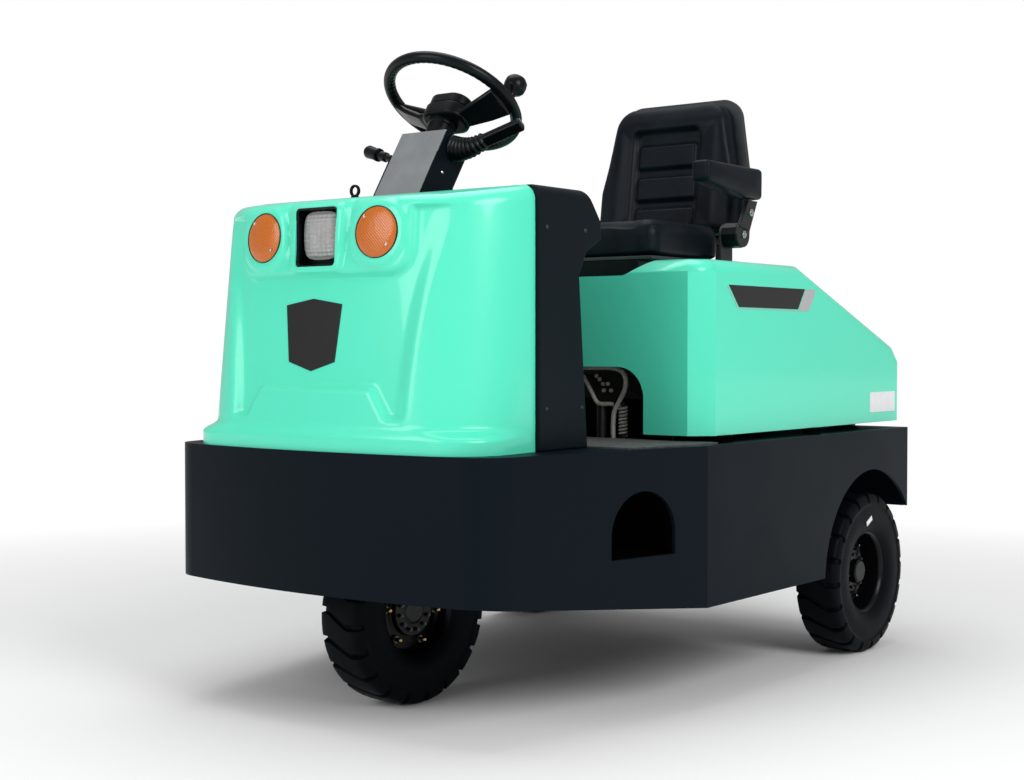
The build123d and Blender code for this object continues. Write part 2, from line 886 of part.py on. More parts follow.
with BuildPart() as turn_stalk:
    with BuildSketch(side_of_column):
        with BuildLine():
            Polyline(
                on_column(-column_half_width, -stalk_drop),
                on_column(-column_half_width, 13 - stalk_drop),
                on_column(-column_half_width - 22, 10 - stalk_drop),
                on_column(-column_half_width - 26, 7 - stalk_drop),
                on_column(-stalk_reach + 56, 7 - stalk_drop),
                on_column(-stalk_reach + 50, 11 - stalk_drop),
                on_column(-stalk_reach + 4, 14 - stalk_drop),
                on_column(-stalk_reach, 11 - stalk_drop),
                on_column(-stalk_reach, -stalk_drop),
                close=True,
            )
        make_face()
    revolve(axis=Axis(wheel_centre - column_axis * stalk_drop, (1, 0, 0)))
save(turn_stalk, "turn_stalk")

ring_spot = (-120.0, 240.0)
with BuildPart() as pull_ring:
    with BuildSketch(Plane.XY.offset(cowl_top_rear)):
        with Locations((ring_spot[0], at(ring_spot[1]))):
            Circle(9)
    extrude(amount=5)
    with BuildSketch(Plane.XZ.offset(-at(ring_spot[1]))):
        with Locations((ring_spot[0], cowl_top_rear + 17)):
            Circle(14)
            Circle(9, mode=Mode.SUBTRACT)
    extrude(amount=3, both=True)
save(pull_ring, "pull_ring")

# Pedals: treadles standing on the floor mat
pedal_width = 74.0
pedal_base = deck_height + 3.5
with BuildPart() as pedals:
    for middle in (-70, -190):
        with BuildSketch(Plane.YZ.offset(middle)):
            with BuildLine():
                Polyline(
                    (at(345), pedal_base),
                    (at(262), pedal_base + 112),
                    (at(255), pedal_base + 106),
                    (at(334), pedal_base),
                    close=True,
                )
            make_face()
        extrude(amount=pedal_width / 2, both=True)
        with BuildSketch(Plane.YZ.offset(middle)):
            with BuildLine():
                Polyline(
                    (at(336), pedal_base),
                    (at(268), pedal_base + 90),
                    (at(268), pedal_base),
                    close=True,
                )
            make_face()
        extrude(amount=6, both=True)
save(pedals, "pedals")

# Steering wheel: rim, two spokes, hub, shaft and a spinner knob
knob_angle = 9.0
knob_radius = 23.0
knob_height = 50.0
spoke_drop = 8.0
spoke_thickness = 13.0
wheel_frame = square_to_column(0)
along_column = Plane(origin=wheel_centre, x_dir=(1, 0, 0), z_dir=wheel_frame.y_dir * -1)
with BuildPart() as steering_wheel:
    with BuildSketch(along_column):
        with Locations((wheel_rim_radius, 0)):
            RegularPolygon(wheel_rim_tube, 12)
    revolve(axis=Axis(wheel_centre, column_axis))
    with BuildSketch(square_to_column(-spoke_drop)):
        with BuildLine():
            Polyline(
                (-wheel_rim_radius, -15),
                (0, -24),
                (wheel_rim_radius, -15),
                (wheel_rim_radius, 15),
                (0, 24),
                (-wheel_rim_radius, 15),
                close=True,
            )
        make_face()
    extrude(amount=-spoke_thickness)
    with BuildSketch(along_column):
        with BuildLine():
            Polyline(
                (0, -column_top_drop + 5),
                (shaft_radius, -column_top_drop + 5),
                (shaft_radius, -hub_drop),
                (hub_radius - 6, -hub_drop),
                (hub_radius, -hub_drop + 6),
                (hub_radius, -8),
                (hub_radius - 8, 2),
                (0, 6),
                close=True,
            )
        make_face()
    revolve(axis=Axis(wheel_centre, column_axis))
    knob_spot = Plane(wheel_frame.location * Location((
        wheel_rim_radius * cos(radians(knob_angle)),
        wheel_rim_radius * sin(radians(knob_angle)),
        0,
    )))
    with BuildSketch(Plane(origin=knob_spot.origin, x_dir=(1, 0, 0), z_dir=along_column.z_dir)):
        with BuildLine():
            Polyline(
                (0, 4),
                (8, 4),
                (8, knob_height - knob_radius),
                (knob_radius * 0.8, knob_height - knob_radius * 0.6),
            )
            ThreePointArc(
                (knob_radius * 0.8, knob_height - knob_radius * 0.6),
                (knob_radius, knob_height),
                (0, knob_height + knob_radius),
            )
            Line((0, knob_height + knob_radius), (0, 4))
        make_face()
    revolve(axis=Axis(knob_spot.origin, column_axis))
save(steering_wheel, "steering_wheel")

# Lamps
lamp_front = 2.0
lamp_rim = 14.0
lamp_depth = 52.0
for side, sign in (("left", 1), ("right", -1)):
    with BuildPart() as indicator:
        lamp_centre = Vector(sign * lamp_spacing / 2, at(lamp_front), lamp_height)
        lamp_plane = Plane(origin=lamp_centre, x_dir=(1, 0, 0), z_dir=(0, -1, 0))
        with BuildSketch(lamp_plane.offset(lamp_rim)):
            Circle(lamp_radius)
        extrude(amount=-(lamp_depth + lamp_rim))
        fillet(indicator.faces().sort_by(Axis.Y)[0].edges(), lamp_rim)
    save(indicator, f"indicator_{side}")

bezel_border = 11.0
bezel_front = -14.0
bezel_depth = 58.0
with BuildPart() as headlamp_bezel:
    with BuildSketch(Plane.XZ.offset(-at(bezel_front))):
        with Locations((0, headlamp_z)):
            RectangleRounded(headlamp_width, headlamp_height, 8)
            Rectangle(
                headlamp_width - 2 * bezel_border, headlamp_height - 2 * bezel_border, mode=Mode.SUBTRACT
            )
    extrude(amount=-bezel_depth)
save(headlamp_bezel, "headlamp_bezel")

with BuildPart() as headlamp_lens:
    with BuildSketch(Plane.XZ.offset(-at(bezel_front + 6))):
        with Locations((0, headlamp_z)):
            Rectangle(headlamp_width - 2 * bezel_border, headlamp_height - 2 * bezel_border)
    extrude(amount=-30)
save(headlamp_lens, "headlamp_lens")

# Rear hood: a green shell over the battery, lowered in the middle for the seat
def hood_form(side, top):
    """The solid form of the hood, with its sides and its top moved in by two distances."""
    half = hood_half_width - side
    slope = Vector(0, hood_tail_station - hood_slant_station, hood_tail_height - hood_top)
    drop = Vector(0, hood_rear_station - hood_tail_station, -hood_tail_drop)
    out_of_slope = Vector(0, -slope.Z, slope.Y).normalized()
    out_of_drop = Vector(0, -drop.Z, drop.Y).normalized()
    spread = out_of_slope.Y * out_of_drop.Z - out_of_slope.Z * out_of_drop.Y
    knee = Vector(
        0,
        at(hood_tail_station) + top * (out_of_slope.Z - out_of_drop.Z) / spread,
        hood_tail_height + top * (out_of_drop.Y - out_of_slope.Y) / spread,
    )
    high = knee - slope * 2
    low = knee + drop * 3
    front_face = at(hood_front_station) + side
    rear_face = at(hood_rear_station) - side
    with BuildPart(mode=Mode.PRIVATE) as form:
        block(-half, half, front_face, rear_face, hood_bottom - side, hood_top - top)
        chamfer(form.edges().filter_by(Axis.Z).group_by(Axis.Y)[0], hood_corner - 0.6 * side)
        with BuildSketch(Plane.YZ):
            with BuildLine():
                Polyline(
                    (high.Y, high.Z),
                    (knee.Y, knee.Z),
                    (low.Y, low.Z),
                    (low.Y + beyond, low.Z),
                    (low.Y + beyond, high.Z),
                    close=True,
                )
            make_face()
        extrude(amount=beyond, both=True, mode=Mode.SUBTRACT)
        fillet(form.edges().filter_by(Axis.Z).group_by(Axis.Y)[-1], hood_rear_radius - side)
        if not side:
            tops = form.faces().filter_by(lambda f: f.normal_at().Z > 0.3)
            centres = [edge.center() for edge in tops.edges()]
            rim = [
                edge
                for edge in tops.edges()
                if sum((edge.center() - centre).length < 0.01 for centre in centres) == 1
            ]
            fillet(rim, hood_edge_radius)
    return form.part


def seat_recess(grow):
    """The trough across the hood's top for the seat, deeper and wider by a distance."""
    floor = hood_seat_top - grow
    with BuildPart(mode=Mode.PRIVATE) as trough:
        with BuildSketch(Plane.XZ.offset(1 - at(hood_front_station))):
            with BuildLine():
                Polyline(
                    (-recess_floor_half - grow, floor),
                    (recess_floor_half + grow, floor),
                    (recess_top_half + grow, hood_top + 1),
                    (recess_top_half + grow, hood_top + 60),
                    (-recess_top_half - grow, hood_top + 60),
                    (-recess_top_half - grow, hood_top + 1),
                    close=True,
                )
            make_face()
        extrude(amount=hood_front_station - hood_rear_station - 2)
        bends = trough.edges().filter_by(Axis.Y).filter_by(lambda e: e.center().Z < floor + 1)
        fillet(bends, recess_bend + grow)
    return trough.part


with BuildPart() as rear_hood:
    add(hood_form(0, 0))
    add(seat_recess(0), mode=Mode.SUBTRACT)
    with BuildPart(mode=Mode.PRIVATE) as hollow:
        add(hood_form(hood_wall, 0.75 * hood_edge_radius))
        add(hood_form(0.75 * hood_edge_radius, hood_wall))
        add(seat_recess(hood_wall), mode=Mode.SUBTRACT)
    add(hollow.part, mode=Mode.SUBTRACT)
    with BuildSketch(Plane.XZ.offset(1 - at(hood_front_station))):
        with Locations((0, (hood_bottom + hood_arch_top) / 2 - hood_arch_radius / 2)):
            RectangleRounded(
                2 * hood_arch_half_width,
                hood_arch_top - hood_bottom + hood_arch_radius,
                hood_arch_radius,
            )
    extrude(amount=-(hood_wall + 2), mode=Mode.SUBTRACT)
save(rear_hood, "rear_hood")

# Hood hinges: knuckles on the rear plate and leaves inside the hood's rear wall
hood_rear_inner = at(hood_rear_station) - hood_wall
with BuildPart() as hood_hinges:
    for sign in (1, -1):
        middle = sign * hinge_spacing / 2
        with BuildSketch(Plane.YZ.offset(middle)):
            with Locations((at(hinge_station), hinge_height)):
                Circle(hinge_radius)
            with BuildLine():
                Polyline(
                    (at(chassis_length), hinge_height - 3 * hinge_radius),
                    (at(chassis_length), hinge_height - hinge_radius),
                    (at(hinge_station), hinge_height - hinge_radius),
                    (at(hinge_station) + hinge_radius * 0.6, hinge_height - hinge_radius * 0.7),
                    close=True,
                )
            make_face()
            with BuildLine():
                Polyline(
                    (at(chassis_length), hinge_height - 3 * hinge_radius),
                    (at(chassis_length), hinge_height - hinge_radius / 2),
                    (at(hinge_station), hinge_height),
                    (at(hinge_station), hinge_height - hinge_radius),
                    close=True,
                )
            make_face()
        extrude(amount=hinge_block / 2, both=True)
        with BuildSketch(Plane.YZ.offset(middle)):
            with Locations((at(hinge_station), hinge_height)):
                Circle(hinge_pin_radius)
        extrude(amount=hinge_block / 2 + leaf_gap + leaf_ring, both=True)
save(hood_hinges, "hood_hinges")

with BuildPart() as hood_hinge_leaves:
    for sign in (1, -1):
        for end in (1, -1):
            middle = sign * hinge_spacing / 2 + end * (hinge_block / 2 + leaf_gap + leaf_ring / 2)
            with BuildSketch(Plane.YZ.offset(middle)):
                with Locations((at(hinge_station), hinge_height)):
                    Circle(hinge_radius)
                with BuildLine():
                    Polyline(
                        (at(hinge_station), hinge_height),
                        (hood_rear_inner, hinge_height),
                        (hood_rear_inner, hinge_height + leaf_height),
                        (hood_rear_inner - 5, hinge_height + leaf_height),
                        (hood_rear_inner - 5, hinge_height + hinge_radius),
                        (at(hinge_station), hinge_height + hinge_radius),
                        close=True,
                    )
                make_face()
                with Locations((at(hinge_station), hinge_height)):
                    Circle(hinge_pin_radius + running_gap, mode=Mode.SUBTRACT)
            extrude(amount=leaf_ring / 2, both=True)
save(hood_hinge_leaves, "hood_hinge_leaves")

# Rubber buffers on the deck that the closed hood rests on
buffer_size = 26.0
with BuildPart() as hood_buffers:
    for sign in (1, -1):
        for station in (hood_front_station + 80, (hood_front_station + hood_rear_station) / 2):
            middle = sign * (hood_half_width - hood_wall / 2)
            block(
                middle - buffer_size / 2,
                middle + buffer_size / 2,
                at(station) - buffer_size,
                at(station) + buffer_size,
                deck_height,
                hood_bottom - soft_gap,
            )
save(hood_buffers, "hood_buffers")

# Battery in its steel tray on the deck
tray_sheet = 4.0
tray_height = 90.0
with BuildPart() as battery_tray:
    edge = battery_half_width + tray_sheet
    block(
        -edge,
        edge,
        at(battery_front_station) - tray_sheet,
        at(battery_rear_station) + tray_sheet,
        deck_height,
        deck_height + tray_height,
    )
    block(
        -battery_half_width,
        battery_half_width,
        at(battery_front_station),
        at(battery_rear_station),
        deck_height + tray_sheet,
        deck_height + tray_height,
        Mode.SUBTRACT,
    )
save(battery_tray, "battery_tray")

with BuildPart() as battery:
    block(
        -battery_half_width,
        battery_half_width,
        at(battery_front_station),
        at(battery_rear_station),
        deck_height + tray_sheet,
        deck_height + battery_height,
    )
save(battery, "battery")

# Parking brake quadrant and its spring, seen through the arch in the hood
quadrant_station = 735.0
quadrant_x = 262.0
quadrant_radius = 118.0
with BuildPart() as brake_quadrant:
    with BuildSketch(Plane.XZ.offset(-at(quadrant_station))):
        with Locations((quadrant_x, deck_height)):
            Circle(quadrant_radius + 34)
            Circle(quadrant_radius, mode=Mode.SUBTRACT)
            with Locations((0, -quadrant_radius)):
                Rectangle(4 * quadrant_radius, 2 * quadrant_radius, mode=Mode.SUBTRACT)
            with Locations((-quadrant_radius, quadrant_radius)):
                Rectangle(2 * quadrant_radius - 60, 3 * quadrant_radius, mode=Mode.SUBTRACT)
    extrude(amount=4, both=True)
save(brake_quadrant, "brake_quadrant")

spring_height = 84.0
with BuildPart() as brake_spring:
    with BuildSketch(Plane.XY.offset(deck_height)):
        with Locations((quadrant_x - 46, at(quadrant_station))):
            Circle(13)
    extrude(amount=spring_height)
save(brake_spring, "brake_spring")

# Seat: base, pan, cushion, backrest shell and backrest pad
seat_base_top = hood_seat_top + seat_base_height
seat_rear_station = seat_front_station + seat_depth
with BuildPart() as seat_base:
    block(-176, 176, at(seat_front_station + 10), at(seat_front_station + 250), hood_seat_top, seat_base_top)
save(seat_base, "seat_base")

pan_half = seat_half_width - 16
with BuildPart() as seat_pan:
    block(
        -pan_half,
        pan_half,
        at(seat_front_station + 8),
        at(seat_rear_station),
        seat_base_top,
        seat_base_top + pan_sheet,
    )
save(seat_pan, "seat_pan")

cushion_bottom = seat_base_top + pan_sheet + soft_gap
cushion_back = seat_rear_station - 18
with BuildPart() as seat_cushion:
    with BuildSketch(Plane.XY.offset(cushion_bottom)):
        with Locations((0, at((seat_front_station + cushion_back) / 2))):
            RectangleRounded(2 * seat_half_width, cushion_back - seat_front_station, 48)
    extrude(amount=cushion_thickness)
    fillet(seat_cushion.faces().sort_by(Axis.Z)[-1].edges(), 26)
save(seat_cushion, "seat_cushion")

back_plane = Plane(
    origin=(0, at(back_station), back_bottom),
    x_dir=(1, 0, 0),
    z_dir=(0, -cos(radians(back_lean)), sin(radians(back_lean))),
)


def back_outline(grow):
    """The backrest seen square on: wide below, narrower and rounded at the top."""
    height = (back_top - back_bottom) / cos(radians(back_lean))
    with BuildSketch() as outline:
        with BuildLine():
            Polyline(
                (-seat_half_width - grow, -grow),
                (seat_half_width + grow, -grow),
                (seat_half_width + grow, height * 0.36),
                (back_top_half_width + grow, height + grow),
                (-back_top_half_width - grow, height + grow),
                (-seat_half_width - grow, height * 0.36),
                close=True,
            )
        make_face()
        fillet(outline.vertices().group_by(Axis.Y)[-1], 62 + grow)
        fillet(outline.vertices().group_by(Axis.Y)[0], 24 + grow)
    return outline.sketch


with BuildPart() as backrest_pad:
    with BuildSketch(back_plane):
        add(back_outline(0))
    extrude(amount=-back_pad_thickness)
    fillet(backrest_pad.faces().sort_by(Axis.Y)[0].edges(), 18)
save(backrest_pad, "backrest_pad")

ear_spread = 150.0
ear_half = 20.0
ear_plate = 12.0
with BuildPart() as backrest_shell:
    with BuildSketch(back_plane.offset(-back_pad_thickness - soft_gap)):
        add(back_outline(4))
    extrude(amount=-shell_thickness)
    for sign in (1, -1):
        ear_front = at(back_station) + back_pad_thickness + shell_thickness + 1
        block(
            sign * ear_spread - ear_half,
            sign * ear_spread + ear_half,
            at(seat_rear_station),
            ear_front + ear_plate,
            seat_base_top,
            seat_base_top + pan_sheet,
        )
        block(
            sign * ear_spread - ear_half,
            sign * ear_spread + ear_half,
            ear_front,
            ear_front + ear_plate,
            seat_base_top,
            back_bottom + 60,
        )
save(backrest_shell, "backrest_shell")

# Armrest on the left: a bracket on the seat pan, a folding arm and a pad
bracket_plate = 8.0
pivot = (at(armrest_pivot_station), armrest_pivot_height)
bracket_inner = armrest_inner - 18
with BuildPart() as armrest_bracket:
    block(
        pan_half,
        bracket_inner + bracket_plate,
        pivot[0] - 30,
        pivot[0] + 30,
        seat_base_top,
        seat_base_top + pan_sheet,
    )
    with BuildSketch(Plane.YZ.offset(bracket_inner)):
        with Locations((pivot[0], (seat_base_top + pivot[1]) / 2)):
            Rectangle(60, pivot[1] - seat_base_top)
        with Locations(pivot):
            Circle(30)
    extrude(amount=bracket_plate)
    with BuildSketch(Plane.YZ.offset(bracket_inner)):
        with Locations(pivot):
            Circle(shaft_radius)
    extrude(amount=bracket_plate + armrest_barrel_length)
save(armrest_bracket, "armrest_bracket")

barrel_inner = bracket_inner + bracket_plate + 1
arm_outer = armrest_inner + armrest_width - 14
with BuildPart() as armrest_arm:
    with BuildSketch(Plane.YZ.offset(barrel_inner)):
        with Locations(pivot):
            Circle(armrest_barrel_radius)
            Circle(shaft_radius + running_gap, mode=Mode.SUBTRACT)
    extrude(amount=armrest_barrel_length)
    with BuildSketch(Plane.YZ.offset(arm_outer - armrest_bar)):
        with BuildLine():
            Polyline(
                (pivot[0] - 22, pivot[1] + 20),
                (pivot[0] + 20, armrest_top - 90),
                (pivot[0] + 66, armrest_top - 90),
                (pivot[0] + 26, pivot[1] + 12),
                close=True,
            )
        make_face()
        with Locations(pivot):
            Circle(shaft_radius + running_gap, mode=Mode.SUBTRACT)
    extrude(amount=armrest_bar)
save(armrest_arm, "armrest_arm")

with BuildPart() as armrest_pad:
    with BuildSketch(Plane.YZ.offset(armrest_inner)):
        with BuildLine():
            Polyline(
                (at(armrest_front_station), armrest_top),
                (at(armrest_rear_station), armrest_top - 2),
                (at(armrest_rear_station), armrest_top - 90 + soft_gap),
                (at(armrest_rear_station) - 90, armrest_top - 90 + soft_gap),
                (at(armrest_front_station), armrest_top - 56),
                close=True,
            )
        make_face()
    extrude(amount=armrest_width)
    fillet(armrest_pad.edges(), 9)
save(armrest_pad, "armrest_pad")

# Tow hitch: three jaw plates on a base, with a drop-in pin
hitch_back = at(chassis_length)
pin_at = hitch_back + hitch_reach - hitch_width / 2
with BuildPart() as tow_hitch:
    block(
        -hitch_width / 2 - 15,
        hitch_width / 2 + 15,
        hitch_back,
        hitch_back + hitch_plate,
        hitch_bottom - 24,
        hitch_bottom + 2 * hitch_pitch + hitch_plate + 24,
    )
    for level in range(3):
        with BuildSketch(Plane.XY.offset(hitch_bottom + level * hitch_pitch)):
            with Locations((0, (hitch_back + hitch_plate + pin_at) / 2)):
                Rectangle(hitch_width, pin_at - hitch_back - hitch_plate)
            with Locations((0, pin_at)):
                Circle(hitch_width / 2)
                Circle(hitch_pin_radius + running_gap, mode=Mode.SUBTRACT)
        extrude(amount=hitch_plate)
save(tow_hitch, "tow_hitch")

hitch_top = hitch_bottom + 2 * hitch_pitch + hitch_plate
with BuildPart() as tow_pin:
    with BuildSketch(Plane.XY.offset(hitch_bottom - 14)):
        with Locations((0, pin_at)):
            Circle(hitch_pin_radius)
    extrude(amount=hitch_top - hitch_bottom + 14 + 30)
    with BuildSketch(Plane.XY.offset(hitch_top + running_gap)):
        with Locations((0, pin_at)):
            Circle(hitch_pin_radius + 9)
    extrude(amount=8)
    with BuildSketch(Plane.YZ.offset(-32)):
        with Locations((pin_at, hitch_top + 30)):
            Circle(8)
    extrude(amount=64)
save(tow_pin, "tow_pin")

# Tail lamps on the rear plate
with BuildPart() as tail_lamps:
    for sign in (1, -1):
        with BuildSketch(Plane.XZ.offset(-at(chassis_length))):
            with Locations((sign * 470, deck_height - 70)):
                RectangleRounded(110, 54, 10)
        extrude(amount=-24)
save(tail_lamps, "tail_lamps")
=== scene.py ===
"""The look of an airport baggage tug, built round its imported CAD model.

Metres, in the CAD's frame: the vehicle faces -Y, its left is +X and +Z is up.
"""
import json
import math

import bmesh
import bpy
import numpy as np
from mathutils import Matrix, Vector

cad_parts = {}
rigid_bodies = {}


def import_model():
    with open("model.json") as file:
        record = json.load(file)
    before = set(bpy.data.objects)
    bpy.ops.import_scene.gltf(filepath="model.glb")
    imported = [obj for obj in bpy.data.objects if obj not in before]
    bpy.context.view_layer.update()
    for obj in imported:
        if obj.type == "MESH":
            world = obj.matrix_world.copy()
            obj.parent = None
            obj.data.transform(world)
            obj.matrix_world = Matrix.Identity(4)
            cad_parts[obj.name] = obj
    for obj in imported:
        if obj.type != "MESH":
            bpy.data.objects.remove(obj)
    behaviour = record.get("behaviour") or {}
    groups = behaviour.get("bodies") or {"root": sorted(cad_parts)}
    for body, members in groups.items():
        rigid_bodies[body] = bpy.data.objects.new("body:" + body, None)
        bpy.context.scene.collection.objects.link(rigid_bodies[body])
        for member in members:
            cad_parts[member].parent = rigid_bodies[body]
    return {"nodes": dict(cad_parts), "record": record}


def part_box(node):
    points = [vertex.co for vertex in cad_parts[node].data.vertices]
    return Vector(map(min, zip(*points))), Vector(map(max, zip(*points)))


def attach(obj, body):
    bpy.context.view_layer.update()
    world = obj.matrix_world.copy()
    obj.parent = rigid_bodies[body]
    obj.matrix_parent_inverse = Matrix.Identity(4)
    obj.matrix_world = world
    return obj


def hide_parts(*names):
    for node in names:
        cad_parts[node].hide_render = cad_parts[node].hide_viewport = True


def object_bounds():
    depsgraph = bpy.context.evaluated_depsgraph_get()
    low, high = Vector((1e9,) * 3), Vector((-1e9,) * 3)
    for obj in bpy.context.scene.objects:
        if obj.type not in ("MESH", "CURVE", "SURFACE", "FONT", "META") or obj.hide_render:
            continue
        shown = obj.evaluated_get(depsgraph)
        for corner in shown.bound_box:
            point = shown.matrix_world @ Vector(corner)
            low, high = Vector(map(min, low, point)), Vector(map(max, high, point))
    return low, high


bl_info = {
    "name": "Airport baggage tug",
    "version": (1, 0, 0),
    "blender": (4, 5, 0),
    "location": "View3D > Sidebar > Tug",
    "description": "Builds the visible pieces of a baggage tug round its CAD frame",
    "category": "Object",
}

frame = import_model()
cad_low, cad_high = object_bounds()
nodes = frame["nodes"]
slot_of = {entry["node"]: entry["material_slot"] for entry in frame["record"]["subparts"]}

MM = 0.001
FRONT = cad_low.y / MM + 50.0
DECK = 577.0


def at(station):
    """The Y, in mm, of a distance behind the chassis' front corners."""
    return FRONT + station


def clear():
    """Leaves edit mode and selects nothing."""
    if bpy.context.object and bpy.context.object.mode != "OBJECT":
        bpy.ops.object.mode_set(mode="OBJECT")
    bpy.ops.object.select_all(action="DESELECT")


def only(piece):
    """Leaves edit mode and selects one piece alone."""
    clear()
    piece.select_set(True)
    bpy.context.view_layer.objects.active = piece


def moved(x, y, z):
    """A shift by distances in mm."""
    return Matrix.Translation(Vector((x, y, z)) * MM)


def rotated(degrees, axis):
    """A turn about an axis through the origin."""
    return Matrix.Rotation(math.radians(degrees), 4, axis)


def twin_of(node, name):
    """A loose copy of a CAD node."""
    piece = bpy.data.objects.new(name, nodes[node].data.copy())
    piece.data.name = name
    bpy.context.scene.collection.objects.link(piece)
    return piece


def merge_faces(piece, degrees):
    """Makes whole faces of a CAD copy's loose triangles, and leaves it in edit mode."""
    only(piece)
    bpy.ops.object.mode_set(mode="EDIT")
    bpy.ops.mesh.select_all(action="SELECT")
    bpy.ops.mesh.remove_doubles(threshold=0.01 * MM)
    bpy.ops.mesh.dissolve_limited(angle_limit=math.radians(degrees))


def start(name, kind, **settings):
    """Adds a primitive, in metres, and leaves it in edit mode with all of it selected."""
    clear()
    getattr(bpy.ops.mesh, f"primitive_{kind}_add")(**settings)
    piece = bpy.context.object
    piece.name = piece.data.name = name
    bpy.ops.object.mode_set(mode="EDIT")
    bpy.ops.mesh.select_all(action="SELECT")
    return piece


def box(name, low, high):
    """A cube primitive between two corners given in mm, left in edit mode."""
    low, high = Vector(low) * MM, Vector(high) * MM
    piece = start(name, "cube", size=1, location=(low + high) / 2)
    bpy.ops.transform.resize(value=high - low)
    return piece


def pick(piece, kind, test):
    """Selects the vertices, edges or faces whose centre, in mm, and normal pass a test."""
    bpy.ops.mesh.select_mode(type=kind)
    bpy.ops.mesh.select_all(action="DESELECT")
    shape = bmesh.from_edit_mesh(piece.data)
    shape.normal_update()
    move = piece.matrix_world
    if kind == "VERT":
        for item in shape.verts:
            item.select_set(bool(test(move @ item.co / MM, item.normal)))
    elif kind == "EDGE":
        for item in shape.edges:
            middle = (item.verts[0].co + item.verts[1].co) / 2
            along = (item.verts[1].co - item.verts[0].co).normalized()
            item.select_set(bool(test(move @ middle / MM, along)))
    else:
        for item in shape.faces:
            item.select_set(bool(test(move @ item.calc_center_median() / MM, item.normal)))
    shape.select_flush_mode()
    bmesh.update_edit_mesh(piece.data)


def shift(vector):
    """Moves what is selected by a vector in mm."""
    bpy.ops.transform.translate(value=Vector(vector) * MM)


def bevel(width, segments=3):
    """Rounds the selected edges, in mm."""
    bpy.ops.mesh.bevel(offset=width * MM, segments=segments, profile=0.5, clamp_overlap=True)


def trace(name, points):
    """Draws a line through points, in mm, by extruding, and leaves it in edit mode."""
    first = Vector(points[0])
    piece = start(name, "plane", size=0.002, location=first * MM)
    bpy.ops.mesh.merge(type="CENTER")
    bpy.ops.mesh.select_mode(type="VERT")
    bpy.ops.mesh.select_all(action="SELECT")
    last = first
    for point in points[1:]:
        step = (Vector(point) - last) * MM
        bpy.ops.mesh.extrude_region_move(TRANSFORM_OT_translate={"value": step})
        last = Vector(point)
    bpy.ops.mesh.select_all(action="SELECT")
    return piece


AXES = {
    "X": ((1, 0, 0), lambda along, out: (along, 0, out)),
    "Y": ((0, 1, 0), lambda along, out: (out, along, 0)),
    "Z": ((0, 0, 1), lambda along, out: (out, 0, along)),
}


def lathe(name, axis, profile, steps=20):
    """A profile spun a full turn; its pairs are mm along the axis and mm out from it."""
    direction, place = AXES[axis]
    piece = trace(name, [place(along, out) for along, out in profile])
    bpy.ops.mesh.spin(
        steps=steps, angle=2 * math.pi, center=Vector((0, 0, 0)), axis=Vector(direction), use_auto_merge=True
    )
    tidy_mesh()
    clear()
    return piece


def plate(name, outline, thickness):
    """A flat outline, in mm, filled and extruded by a vector."""
    piece = trace(name, outline)
    bpy.ops.mesh.edge_face_add()
    bpy.ops.mesh.select_all(action="SELECT")
    bpy.ops.mesh.extrude_region_move(TRANSFORM_OT_translate={"value": Vector(thickness) * MM})
    tidy_mesh()
    clear()
    return piece


def tidy_mesh(distance=0.02):
    """Merges doubles and turns the normals out, in edit mode."""
    bpy.ops.mesh.select_all(action="SELECT")
    bpy.ops.mesh.remove_doubles(threshold=distance * MM)
    bpy.ops.mesh.normals_make_consistent(inside=False)


def change(piece, kind, **settings):
    """Adds a modifier and applies it."""
    only(piece)
    bpy.ops.object.modifier_add(type=kind)
    modifier = piece.modifiers[-1]
    for key, value in settings.items():
        setattr(modifier, key, value)
    bpy.ops.object.modifier_apply(modifier=modifier.name)
    return piece


def round_edges(piece, width, segments=3, angle=30):
    """Rounds every sharp edge of a piece."""
    return change(
        piece,
        "BEVEL",
        width=width * MM,
        segments=segments,
        limit_method="ANGLE",
        angle_limit=math.radians(angle),
        harden_normals=False,
    )


def cut(piece, cutter):
    """Takes one solid out of another and removes the cutter."""
    bpy.ops.object.mode_set(mode="OBJECT")
    change(piece, "BOOLEAN", operation="DIFFERENCE", object=cutter, solver="EXACT")
    bpy.data.objects.remove(cutter)
    return piece


def join(pieces, name):
    """Joins pieces into one object."""
    clear()
    for piece in pieces:
        piece.select_set(True)
    bpy.context.view_layer.objects.active = pieces[0]
    bpy.ops.object.transform_apply(location=True, rotation=True, scale=True)
    bpy.ops.object.join()
    joined = bpy.context.object
    joined.name = joined.data.name = name
    return joined


def copy(piece, name, matrix):
    """A copy of a piece with its own mesh, moved by a matrix."""
    twin = bpy.data.objects.new(name, piece.data.copy())
    twin.data.name = name
    bpy.context.scene.collection.objects.link(twin)
    twin.data.transform(piece.matrix_world)
    twin.data.transform(matrix)
    if matrix.determinant() < 0:
        twin.data.flip_normals()
    return twin


def settle(piece, finish, body, replaces=(), smooth=32):
    """Applies a piece's place, smooths it, gives it its finish and fixes it to its body."""
    only(piece)
    bpy.ops.object.transform_apply(location=True, rotation=True, scale=True)
    if smooth:
        bpy.ops.object.shade_smooth_by_angle(angle=math.radians(smooth))
    piece.data.materials.clear()
    piece.data.materials.append(finishes[finish])
    if 0 < smooth < 100:
        change(piece, "WEIGHTED_NORMAL", keep_sharp=True)
    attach(piece, body)
    if replaces:
        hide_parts(*replaces)
    return piece


# Finishes
finishes = {}


def finish_named(name, colour, roughness, **sockets):
    """A new material with its shader's plain values set."""
    material = bpy.data.materials.new(name)
    material.use_nodes = True
    shader = material.node_tree.nodes["Principled BSDF"]
    shader.inputs["Base Color"].default_value = (*colour, 1)
    shader.inputs["Roughness"].default_value = roughness
    for key, value in sockets.items():
        shader.inputs[key.replace("_", " ")].default_value = value
    finishes[name] = material
    return material.node_tree, shader


